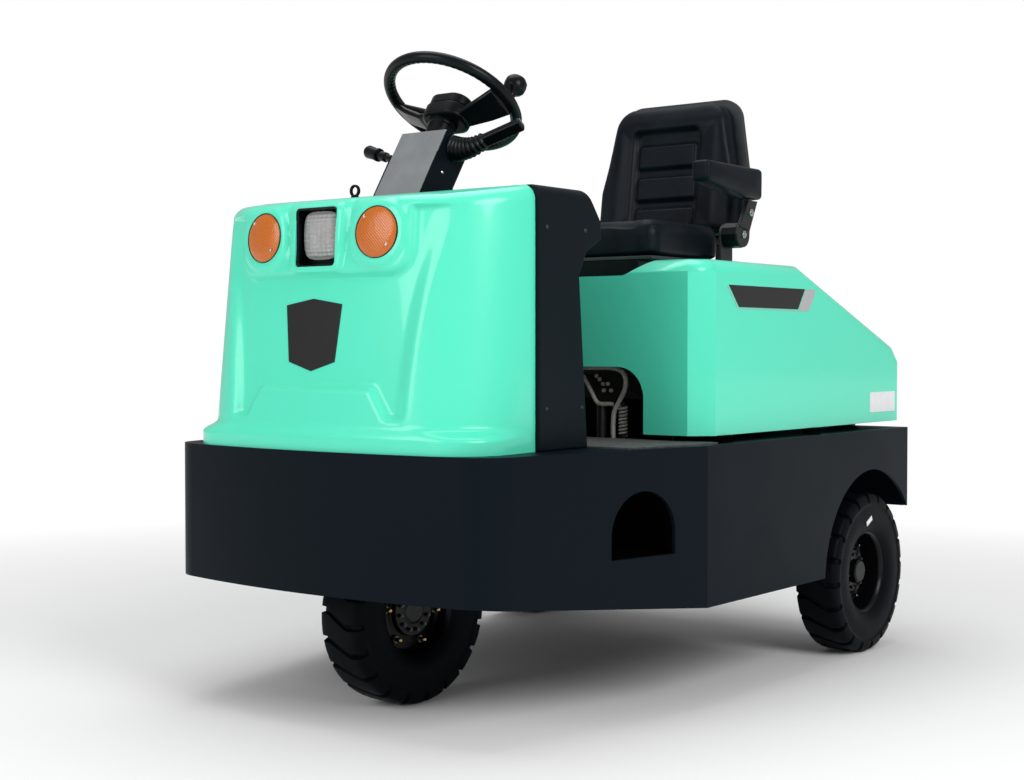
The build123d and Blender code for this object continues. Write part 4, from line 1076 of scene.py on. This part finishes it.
def evened(piece, move, rounds):
    """Spreads the movement of every vertex over its neighbours, so a taut cover stays smooth."""
    ends = np.empty(len(piece.data.edges) * 2, dtype=np.int32)
    piece.data.edges.foreach_get("vertices", ends)
    first, second, count = ends[0::2], ends[1::2], len(move)
    share = np.maximum(np.bincount(ends, minlength=count), 1)[:, None]
    for _ in range(rounds):
        total = np.empty_like(move)
        for axis in range(3):
            total[:, axis] = np.bincount(first, move[second, axis], count)
            total[:, axis] += np.bincount(second, move[first, axis], count)
        move = 0.5 * move + 0.5 * total / share
    return move


# The frames that the covers are simulated for, and how often their movement is then spread.
CLOTH_FRAMES = 20
EVEN_ROUNDS = 70


def swell(piece, voxel, cap):
    """Swells a closed shape like a stuffed cover, by cloth simulation, within a cap in mm."""
    change(piece, "REMESH", mode="VOXEL", voxel_size=voxel * MM)
    change(piece, "SMOOTH", factor=0.5, iterations=6)
    before = np.empty(len(piece.data.vertices) * 3)
    piece.data.vertices.foreach_get("co", before)
    only(piece)
    bpy.ops.object.modifier_add(type="CLOTH")
    cloth = piece.modifiers[-1]
    cloth.settings.use_pressure = True
    cloth.settings.uniform_pressure_force = 4.0
    cloth.settings.effector_weights.gravity = 0.0
    cloth.settings.quality = 4
    cloth.point_cache.frame_start = 1
    cloth.point_cache.frame_end = CLOTH_FRAMES
    scene = bpy.context.scene
    for step in range(1, CLOTH_FRAMES + 1):
        scene.frame_set(step)
    bpy.ops.object.modifier_apply(modifier=cloth.name)
    scene.frame_set(1)
    after = np.empty(len(before))
    piece.data.vertices.foreach_get("co", after)
    move = (after - before).reshape(-1, 3)
    length = np.linalg.norm(move, axis=1, keepdims=True)
    scale = np.minimum(1.0, cap * MM / np.maximum(length, 1e-9))
    move = evened(piece, move * scale, EVEN_ROUNDS)
    piece.data.vertices.foreach_set("co", (before.reshape(-1, 3) + move).ravel())
    piece.data.update()
    change(piece, "SMOOTH", factor=0.5, iterations=4)


def pad_from(node, name, shrink, voxel, cap):
    """A soft piece grown from a slightly smaller copy of a CAD pad."""
    piece = twin_of(node, name)
    low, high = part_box(node)
    centre, size = (low + high) / 2, (high - low)
    scale = Matrix.Diagonal([1 - 2 * shrink * MM / side for side in size]).to_4x4()
    piece.data.transform(Matrix.Translation(centre) @ scale @ Matrix.Translation(-centre))
    swell(piece, voxel, cap)
    change(piece, "SUBSURF", levels=1, render_levels=1)
    return piece


def carve(piece, depth_at):
    """Moves each vertex by a function of its place and normal, in mm."""
    piece.data.update()
    normals = [vertex.normal.copy() for vertex in piece.data.vertices]
    for vertex, normal in zip(piece.data.vertices, normals):
        vertex.co += Vector(depth_at(vertex.co / MM, normal)) * MM
    piece.data.update()


# The column leans back by COLUMN_TILT; the steering wheel's middle is at WHEEL_STATION and WHEEL_Z.
COLUMN_TILT = 33
COLUMN_HALF = 67
WHEEL_STATION, WHEEL_Z = 440, 1355
WHEEL_RADIUS = 155
RIM_RIBS = 64
WHEEL_SPOT = moved(0, at(WHEEL_STATION), WHEEL_Z) @ rotated(-COLUMN_TILT, "X")
KNOB_PROFILE = (
    (6, 0), (8, 9), (22, 9), (31, 13), (36, 21), (42, 25), (52, 26), (62, 25), (69, 20), (71.5, 10),
    (72, 0),
)


class TUG_OT_steering_wheel(bpy.types.Operator):
    """Makes the steering wheel with its ribbed rim, arms, hub cap and spinner knob"""

    bl_idname = "tug.steering_wheel"
    bl_label = "Steering wheel"

    def execute(self, context):
        rim = start(
            "wheel_rim",
            "torus",
            major_segments=256,
            minor_segments=24,
            major_radius=WHEEL_RADIUS * MM,
            minor_radius=13.6 * MM,
        )
        shape = bmesh.from_edit_mesh(rim.data)
        for vertex in shape.verts:
            turn = math.atan2(vertex.co.y, vertex.co.x)
            out = math.hypot(vertex.co.x, vertex.co.y)
            inner = smooth((157 * MM - out) / (12 * MM)) * smooth((6 * MM - vertex.co.z) / (10 * MM))
            rib = 1.5 * MM * inner * (0.5 + 0.5 * math.cos(turn * RIM_RIBS)) ** 2
            vertex.co.x += rib * math.cos(turn)
            vertex.co.y += rib * math.sin(turn)
        bmesh.update_edit_mesh(rim.data)
        clear()
        pieces = [rim]
        for side, foot, tip in ((1, 30, 44), (-1, 27, 30)):
            lines = ((20, foot, -54), (62, foot * 0.86, -50), (112, tip * 0.84, -30), (152, tip, -10))

            def arm_place(u, v, side=side, lines=lines):
                share = u * (len(lines) - 1)
                index = min(int(share), len(lines) - 2)
                share = share - index
                x, half, z = (a + (b - a) * share for a, b in zip(lines[index], lines[index + 1]))
                turn = 2 * math.pi * v
                across, up = math.cos(turn), math.sin(turn)
                box_like = 1 / max(abs(across), abs(up)) ** 0.75
                thin = 0.0 if u in (0.0, 1.0) else 1.0
                return side * x, half * across * box_like * thin, z + 8 * up * box_like * thin

            arm = sheet(f"arm_{foot}", 24, 32, arm_place, 0.01)
            ridge = bar(f"ridge_{foot}", (side * 40, 0, -34), (side * 150, 0, 0), 26, 14, 4.5)
            pieces += [arm, ridge]
        neck = ((-78, 0), (-78, 28), (-74, 33), (-60, 34), (-56, 32), (-26, 32), (-26, 0))
        pieces.append(lathe("hub", "Z", neck, 48))
        for name, low, high, corner in (
            ("hub_body", (-52, -42, -60), (64, 42, -31), 38),
            ("hub_cap", (-48, -39, -27), (60, 39, -5), 35),
        ):
            lump = box(name, low, high)
            pick(lump, "EDGE", lambda middle, along: abs(along.z) > 0.9)
            bevel(corner, 10)
            end = 1 if name == "hub_cap" else -1
            pick(lump, "FACE", lambda middle, normal, end=end: normal.z * end > 0.9)
            bpy.ops.mesh.inset(thickness=7 * MM)
            shift((0, 0, end * 3.5))
            clear()
            round_edges(lump, 2.2, 3, 25)
            pieces.append(lump)
        pieces.append(lathe("wheel_shaft", "Z", ((-114, 0), (-114, 9.8), (-70, 9.8), (-70, 0)), 32))
        knob = lathe("spinner", "Z", KNOB_PROFILE, 48)
        turn, out = math.radians(9), WHEEL_RADIUS - 8
        knob.data.transform(moved(out * math.cos(turn), out * math.sin(turn), 0))
        pieces.append(knob)
        whole = join(pieces, "steering_wheel_skin")
        whole.data.transform(WHEEL_SPOT)
        settle(whole, "black_plastic", "steering_wheel", ("steering_wheel",), 38)
        return {"FINISHED"}


STALK_PROFILE = (
    (-66, 0), (-66, 14), (-84, 12), (-90, 8.5), (-96, 9.5), (-102, 8.5), (-108, 9.5), (-114, 8.5),
    (-128, 8.5), (-132, 11.5), (-150, 11.5), (-153, 9), (-158, 9.5), (-160, 15.5), (-166, 16),
    (-168, 14), (-200, 15.5), (-205, 13), (-206, 0),
)


class TUG_OT_column(bpy.types.Operator):
    """Makes the column cover with its side panels, the ribbed lever boot, the lever and the stalk"""

    bl_idname = "tug.column"
    bl_label = "Column and its controls"

    def execute(self, context):
        cover = softened("column_cover", 3.5, "column_grey", 4)
        # Painted shade: the cover's sides and back-facing faces take the dark chassis paint, while the front
        # keeps the grey paint.
        paint_shade_on_faces(cover, "chassis_paint", lambda middle, normal: abs(normal.x) > 0.8 or normal.y > 0.3)

        def on_side(drop, across, x):
            angle = math.radians(COLUMN_TILT)
            station = WHEEL_STATION - drop * math.sin(angle) + across * math.cos(angle)
            return x, at(station), WHEEL_Z - drop * math.cos(angle) - across * math.sin(angle)

        for side in (1, -1):
            x = COLUMN_HALF * side
            outline = [
                on_side(180, -43.5, x),
                on_side(222, 48.5, x),
                on_side(238, 48.5, x),
                (x, at(337), 1128),
                (x, at(242), 1128),
            ]
            panel = plate(f"column_panel_{side + 1}", outline, (side * 2.2, 0, 0))
            round_edges(panel, 0.8, 2, 40)
            settle(panel, "chassis_paint", "chassis", (), 35)
            head = ((0, 0), (0, 4), (1.2, 4), (2.4, 2.6), (2.6, 0))
            screw = lathe(f"column_screw_{side + 1}", "Z", head)
            screw.data.transform(moved(*on_side(212, -6, x + 2 * side)) @ rotated(90 * side, "Y"))
            settle(screw, "plated_steel", "chassis", (), 40)

        boot_path = spline([(66, 0, -141), (92, 2, -142), (120, 2, -138), (150, 0, -124)])

        def boot_radius(share):
            rib = 0.5 + 0.5 * math.cos(2 * math.pi * (share * 9 + 0.5))
            return 30 - 12 * share + 3.6 * rib**0.7 - 3

        boot = tube("lever_boot", boot_path, boot_radius, 150, 36)
        lever = bar("lever_blade", (136, 0, -131), (236, 0, -88), 30, 17, 4.5)
        whole = join([boot, lever], "direction_lever_skin")
        whole.data.transform(WHEEL_SPOT)
        settle(whole, "black_plastic", "chassis", ("direction_lever",), 45)
        tip = bar("lever_tip", (219.6, 0, -88.8), (234.6, 0, -82.4), 24, 6, 2.5)
        tip.data.transform(WHEEL_SPOT)
        settle(tip, "column_grey", "chassis", (), 45)

        stalk = lathe("turn_stalk_skin", "X", STALK_PROFILE, 40)
        stalk.data.transform(WHEEL_SPOT @ moved(-66, 0, -148) @ rotated(19, "Y") @ moved(66, 0, 0))
        settle(stalk, "black_plastic", "chassis", ("turn_stalk",), 35)
        return {"FINISHED"}


HOOD_HALF = 540
HOOD_FRONT = 666
DARK_PLATE = ((768, 934), (1140, 934), (1104, 884), (815, 884))
PALE_EDGE = (
    (1144, 934), (1192, 934), (1194, 924), (1160, 880), (809, 880), (762, 930), (765, 930), (811, 882),
    (1107, 882),
)
SMALL_PLATE = ((1513, 673), (1668, 673), (1668, 620), (1513, 620))
HOOD_PLATES = (
    ("side_plate_dark", DARK_PLATE, "blank_dark_plate", "black_plastic"),
    ("side_plate_end", PALE_EDGE, "grey_plate", "steel"),
    ("side_plate_small", SMALL_PLATE, "blank_pale_plate", "steel"),
)


class TUG_OT_hood(bpy.types.Operator):
    """Makes the green rear hood with rounded corners and its blank plates"""

    bl_idname = "tug.hood"
    bl_label = "Rear hood"

    def execute(self, context):
        hood = twin_of("rear_hood", "rear_hood_skin")
        merge_faces(hood, 1)
        front = at(HOOD_FRONT)

        def outer_corner(middle, along):
            upright = abs(along.z) > 0.95 and 600 < middle.z < 955
            at_edge = abs(middle.x) > HOOD_HALF - 1 or middle.y < front + 1
            return upright and middle.y < front + 60 and at_edge

        pick(hood, "EDGE", outer_corner)
        bevel(22, 6)
        clear()
        settle(hood, "green_paint", "hood", ("rear_hood",), 40)
        for side in (1, -1):
            for name, outline, finish, slot in HOOD_PLATES:
                corners = [(side * HOOD_HALF, at(station), height) for station, height in outline]
                piece = plate(f"{name}_{side + 1}", corners, (side * 0.9, 0, 0))
                round_edges(piece, 0.35, 2, 40)
                settle(piece, finish, "hood", (), 35)
        return {"FINISHED"}


# The backrest's lean, its foot's height, and its sewn rows as middle and half height above the foot.
BACK_LEAN = 8
BACK_FOOT = 1084
BACK_ROWS = ((52, 46), (148, 38), (238, 38))
CUSHION_FRONT, CUSHION_LENGTH, CUSHION_HALF = 945, 374, 232
CUSHION_LOW, CUSHION_HIGH = 1020.4, 1112.0


class TUG_OT_seat(bpy.types.Operator):
    """Makes the seat: swollen cushion and backrest with sewn panels, shell and base"""

    bl_idname = "tug.seat"
    bl_label = "Seat"

    def execute(self, context):
        lean = math.radians(BACK_LEAN)
        back = pad_from("backrest_pad", "backrest", 7, 6, 9)

        def back_relief(point, normal):
            up = (point.z - BACK_FOOT) / math.cos(lean)
            facing_front = smooth((-normal.y - 0.25) / 0.35)
            panel = rounded_box_distance(point.x, up - 170, 112, 148, 26)
            depth = -17 * smooth(-panel / 16)
            for middle_up, half in BACK_ROWS:
                pad = rounded_box_distance(point.x, up - middle_up, 98, half, 15)
                depth += 13 * smooth(-pad / 13) ** 0.7
            if up < 26:
                depth = -5 * smooth((26 - up) / 4)
            edge = rounded_box_distance(point.x, up - 180, 208, 196, 60)
            depth += 7 * math.exp(-((edge + 52) / 30) ** 2)
            return 0.0, -depth * facing_front * math.cos(lean), depth * facing_front * math.sin(lean)

        carve(back, back_relief)
        change(back, "SMOOTH", factor=0.5, iterations=2)
        settle(back, "seat_vinyl", "hood", ("backrest_pad",), 180)

        cushion = pad_from("seat_cushion", "cushion", 8, 6, 22)

        def cushion_relief(point, normal):
            top = smooth((normal.z - 0.3) / 0.4)
            side = abs(point.x) / CUSHION_HALF
            along = (point.y - at(CUSHION_FRONT)) / CUSHION_LENGTH
            bolster = 11 * math.exp(-(((side - 0.78) / 0.13) ** 2))
            dip = -11 * smooth((0.62 - side) / 0.2) * smooth((along - 0.12) / 0.2)
            seam = -5 * math.exp(-(((abs(point.x) - 139) / 4.5) ** 2)) * smooth((along - 0.1) / 0.05)
            cross = -4.5 * math.exp(-(((along - 0.42) * CUSHION_LENGTH / 5) ** 2))
            cross *= smooth((0.6 - side) / 0.02)
            front = -12 * smooth((0.16 - along) / 0.16)
            return 0.0, 0.0, top * (bolster + dip + seam + cross + front)

        carve(cushion, cushion_relief)
        for vertex in cushion.data.vertices:
            vertex.co.z = min(max(vertex.co.z, CUSHION_LOW * MM), CUSHION_HIGH * MM)
        cushion.data.update()
        settle(cushion, "seat_vinyl", "hood", ("seat_cushion",), 180)
        softened("backrest_shell", 3.0, "grey_shell", 3)
        softened("seat_pan", 1.5, "grey_shell", 2)
        softened("seat_base", 4.0, "black_plastic", 3)
        return {"FINISHED"}


class TUG_OT_armrest(bpy.types.Operator):
    """Makes the armrest with its swollen pad, bar, barrel and bolts"""

    bl_idname = "tug.armrest"
    bl_label = "Armrest"

    def execute(self, context):
        pad = pad_from("armrest_pad", "armrest_cover", 3, 4, 5)
        settle(pad, "seat_vinyl", "armrest", ("armrest_pad",), 180)
        softened("armrest_arm", 1.2, "dark_metal", 2)
        softened("armrest_bracket", 1.2, "dark_metal", 2)
        pivot = Vector((271, at(1268), 1085)) * MM
        barrel = start(
            "armrest_barrel", "cylinder", vertices=12, radius=35 * MM, depth=44 * MM, location=pivot
        )
        bpy.ops.transform.rotate(value=math.radians(90), orient_axis="Y", center_override=pivot)
        clear()
        round_edges(barrel, 2.5, 2, 20)
        settle(barrel, "black_plastic", "armrest", (), 20)
        nut = hex_bolt("armrest_nut", 11, 8, 4, 5)
        for index, (station, height, x) in enumerate(((1268, 1085, 293), (1290, 1143, 302))):
            head = copy(nut, f"armrest_nut_{index}", moved(x, at(station), height))
            settle(head, "plated_steel", "armrest", (), 35)
        bpy.data.objects.remove(nut)
        return {"FINISHED"}


# How far the wheel disc stands out from the middle of a rear and a front rim.
DISC = {"deep": -20, "shallow": 6}
LUGS = 20
# Across and out from the axle, from the middle of the tread to the bead.
TYRE_HALF = (
    (7, 207.5), (20, 207.3), (29, 207), (38, 206.4), (48, 204.5), (53.5, 200), (56.5, 193), (58.4, 184),
    (58.8, 181), (58.6, 176), (57.2, 173), (57.4, 166), (58.2, 148), (57, 132), (54, 119), (50, 110),
    (46, 103),
)
TYRE_PROFILE = tuple((-x, r) for x, r in reversed(TYRE_HALF)) + TYRE_HALF
# Degrees along one lug's share of the tread, and how much of the groove is open there.
GROOVE_STEPS = (
    (0.0, 1.0), (1.5, 1.0), (2.1, 0.0), (5.0, 0.0), (9.0, 0.0), (13.0, 0.0), (15.9, 0.0), (16.5, 1.0),
)


def tyre_master():
    """One tyre about the X axis with shoulder lugs and slanting grooves across its tread."""
    columns, rows = LUGS * len(GROOVE_STEPS), len(TYRE_PROFILE) * 2 - 2

    def place(u, v):
        lug, spot = divmod(round(u * columns), len(GROOVE_STEPS))
        angle, groove = GROOVE_STEPS[spot]
        row = v * (len(TYRE_PROFILE) - 1)
        index = min(int(row), len(TYRE_PROFILE) - 2)
        share = row - index
        x = TYRE_PROFILE[index][0] * (1 - share) + TYRE_PROFILE[index + 1][0] * share
        radius = TYRE_PROFILE[index][1] * (1 - share) + TYRE_PROFILE[index + 1][1] * share
        turn = math.radians(lug * 360 / LUGS + angle - 0.75 + 4.5 * max(-1, min(1, x / 28)))
        shoulder = smooth((abs(x) - 25) / 5)
        outer = smooth((radius - 183) / 3)
        radius_in_groove = radius - (6.5 + 5.5 * shoulder) * groove * outer
        if abs(x) > 29 and groove:
            x -= math.copysign(3.0, x) * smooth((190 - radius) / 8) * outer
        return x, -radius_in_groove * math.sin(turn), radius_in_groove * math.cos(turn)

    tyre = sheet("tyre_master", columns, rows, place, 0.01)
    change(tyre, "SOLIDIFY", thickness=3 * MM, offset=-1)
    round_edges(tyre, 0.9, 2, 38)
    return tyre


def rim_master(name, disc):
    """One rim about the X axis: rolled flanges, a dish as deep as the disc's offset makes it, and the hub;
    its bolts and cap are made with the wheels.
    """
    profile = (
        (29, 0), (29, 27), (26.5, 30.5), (disc + 30, 31.5), (disc + 29, 53), (disc + 26, 56), (disc + 8, 57),
        (disc + 6, 60), (disc + 4, 88), (disc + 9, 93.5), (34, 94.5), (38, 97), (43, 99.5), (46.2, 104),
        (47, 111), (45.6, 116.5), (43.2, 118), (41, 116), (40.4, 109), (39.6, 102), (-39.6, 102),
        (-40.4, 109), (-41, 116), (-43.2, 118), (-45.6, 116.5), (-47, 111), (-46, 100), (-40, 95),
        (disc - 4, 93), (disc - 6, 60), (disc - 8, 44), (-47, 42), (-47, 22.5), (23.8, 22.5), (23.8, 0),
    )
    if disc > 0:
        profile = tuple((min(x, 28.0) if r < 60 else x, r) for x, r in profile)
    return lathe(name, "X", profile, 96)


def ring_of(piece, name, count, first, along, out, spot):
    """Copies of a piece set evenly round the X axis from a first angle, and joined."""
    lift = moved(along, 0, out)
    copies = []
    for index in range(count):
        around = rotated(360 / count * index + first, "X")
        copies.append(copy(piece, f"{name}_{index}", spot @ around @ lift))
    return join(copies, name)


class TUG_OT_wheels(bpy.types.Operator):
    """Makes the three tyres, their rims, bolts and nuts"""

    bl_idname = "tug.wheels"
    bl_label = "Wheels"

    def execute(self, context):
        tyre = tyre_master()
        rims = {kind: rim_master(f"rim_{kind}", disc) for kind, disc in DISC.items()}
        bolt = hex_bolt("hub_bolt", 4.6, 7, 3, 2.5)
        nut = hex_bolt("wheel_nut", 9.5, 9, 9, 5)
        tip = lathe("nut_tip", "Z", ((0, 0), (0, 4.6), (4, 4.6), (6, 3), (6, 0)))
        tip.data.transform(rotated(90, "Y"))
        for wheel, body, turn, kind, patch_angle in (
            ("front", "front_wheel", -4, "shallow", 235),
            ("rear_left", "rear_wheel_left", 0, "deep", 118),
            ("rear_right", "rear_wheel_right", 180, "deep", 235),
        ):
            spot = moved(*middle(f"{wheel}_rim")) @ rotated(turn, "Z")
            rubber = copy(tyre, f"{wheel}_tyre_skin", spot)
            settle(rubber, "tyre_rubber", body, (f"{wheel}_tyre",), 30)
            metal_rim = copy(rims[kind], f"{wheel}_rim_skin", spot)
            settle(metal_rim, "rim_paint", body, (f"{wheel}_rim",), 32)
            disc = DISC[kind]
            cap = lathe(f"{wheel}_hub_cap", "X", ((29, 0), (30.5, 0), (30.5, 25), (29, 27)), 40)
            cap.data.transform(spot)
            settle(cap, "dark_metal", body, (), 35)
            hub_face = disc + 29 if kind == "deep" else 28
            tip_finish = "brass_tip" if wheel == "front" else "bolt_steel"
            for master, name, count, first, along, out, finish in (
                (bolt, "hub_bolts", 12, 10, hub_face, 44, "bolt_steel"),
                (nut, "nuts", 6, 24, disc + 4.5, 76, "bolt_steel"),
                (tip, "nut_tips", 6, 24, disc + 22, 76, tip_finish),
            ):
                whole = ring_of(master, f"{wheel}_{name}", count, first, along, out, spot)
                settle(whole, finish, body, (), 30)
            outline = [(57.9, 8, 136), (57.9, 20, 134.5), (57.9, 20.8, 168), (57.9, 9, 169.5)]
            patch = plate(f"{wheel}_tyre_patch", outline, (1.0, 0, 0))
            patch.data.transform(spot @ rotated(patch_angle, "X"))
            settle(patch, "blank_pale_plate", body, (), 30)
        for used in (tyre, *rims.values(), bolt, nut, tip):
            bpy.data.objects.remove(used)
        return {"FINISHED"}


BRAKE_X, BRAKE_STATION = 281, 728
COIL_TURNS, COIL_RADIUS = 8.5, 8.5
BRAKE_LOOP = (
    (150, 744), (200, 744), (250, 744), (280, 736), (292, 716), (288, 690), (272, 662), (260, 640),
    (257, 615), (257, 578),
)
BRAKE_INNER = ((171, 724), (190, 694), (209, 664), (222, 658), (240, 658), (256, 658))
BRAKE_STUDS = ((205, 724), (214, 716), (224, 705), (238, 706), (247, 690), (226, 690))


class TUG_OT_brake(bpy.types.Operator):
    """Makes the bright brake bracket and the coil spring seen through the hood's arch"""

    bl_idname = "tug.brake"
    bl_label = "Brake bracket"

    def execute(self, context):
        y = at(722)
        for name, line, radius, columns in (
            ("brake_loop", BRAKE_LOOP, 5.8, 90),
            ("brake_inner", BRAKE_INNER, 5.0, 60),
        ):
            piece = tube(name, spline([(x, y, z) for x, z in line]), radius, columns, 14)
            settle(piece, "pale_zinc", "chassis", (), 50)
        outline = [(170, 728), (246, 735), (276, 722), (280, 700), (250, 655), (214, 655), (172, 716)]
        back = plate("brake_plate", [(x, y + 8, z) for x, z in outline], (0, 4, 0))
        round_edges(back, 0.8, 2, 40)
        settle(back, "dark_metal", "chassis", (), 35)
        stud = hex_bolt("brake_stud", 5, 5)
        stud.data.transform(rotated(-90, "Z"))
        for index, (x, z) in enumerate(BRAKE_STUDS):
            head = copy(stud, f"brake_stud_{index}", moved(x, y + 8, z))
            settle(head, "pale_zinc", "chassis", (), 30)
        bpy.data.objects.remove(stud)

        def helix(share):
            angle = 2 * math.pi * COIL_TURNS * share
            across, along = COIL_RADIUS * math.cos(angle), COIL_RADIUS * math.sin(angle)
            return Vector((BRAKE_X + across, at(BRAKE_STATION) + along, 584 + 70 * share))

        coil = tube("brake_coil", helix, 3.0, 340, 8)
        rod = ((577, 0), (577, 9), (590, 9), (592, 4), (658, 4), (659, 7), (663, 7), (665, 0))
        core = lathe("brake_rod", "Z", rod, 24)
        core.data.transform(moved(BRAKE_X, at(BRAKE_STATION), 0))
        settle(coil, "pale_zinc", "chassis", (), 60)
        settle(core, "dark_metal", "chassis", (), 35)
        return {"FINISHED"}


class TUG_OT_rear_parts(bpy.types.Operator):
    """Softens the tow hitch, its pin, the tail lamps and the pedals"""

    bl_idname = "tug.rear_parts"
    bl_label = "Hitch, tail lamps and pedals"

    def execute(self, context):
        softened("tow_hitch", 1.6, "chassis_paint", 2)
        softened("tow_pin", 1.2, "plated_steel", 2, 40)
        softened("tail_lamps", 3.0, "red_lens", 3)
        softened("pedals", 1.5, "rubber_mat", 2)
        softened("deck_plate", 0.0, "chassis_paint")
        return {"FINISHED"}


OPERATORS = (
    TUG_OT_finishes,
    TUG_OT_stage,
    TUG_OT_cowl,
    TUG_OT_front_lamps,
    TUG_OT_shield,
    TUG_OT_dash,
    TUG_OT_steering_wheel,
    TUG_OT_column,
    TUG_OT_hood,
    TUG_OT_seat,
    TUG_OT_armrest,
    TUG_OT_wheels,
    TUG_OT_brake,
    TUG_OT_rear_parts,
)


class TUG_PT_pieces(bpy.types.Panel):
    """Lists the tug's sizes and pieces"""

    bl_idname = "TUG_PT_pieces"
    bl_label = "Baggage tug"
    bl_space_type = "VIEW_3D"
    bl_region_type = "UI"
    bl_category = "Tug"

    def draw(self, context):
        for key in TugSizes.__annotations__:
            self.layout.prop(context.scene.tug_sizes, key)
        for operator in OPERATORS:
            self.layout.operator(operator.bl_idname)


def register():
    """Registers the sizes, the operators and the panel."""
    for item in (TugSizes, *OPERATORS, TUG_PT_pieces):
        bpy.utils.register_class(item)
    bpy.types.Scene.tug_sizes = bpy.props.PointerProperty(type=TugSizes)


def unregister():
    """Takes them away again."""
    del bpy.types.Scene.tug_sizes
    for item in reversed((TugSizes, *OPERATORS, TUG_PT_pieces)):
        bpy.utils.unregister_class(item)


def main():
    """Builds every piece in order."""
    register()
    for operator in OPERATORS:
        group, name = operator.bl_idname.split(".")
        getattr(getattr(bpy.ops, group), name)()


if __name__ == "__main__":
    main()
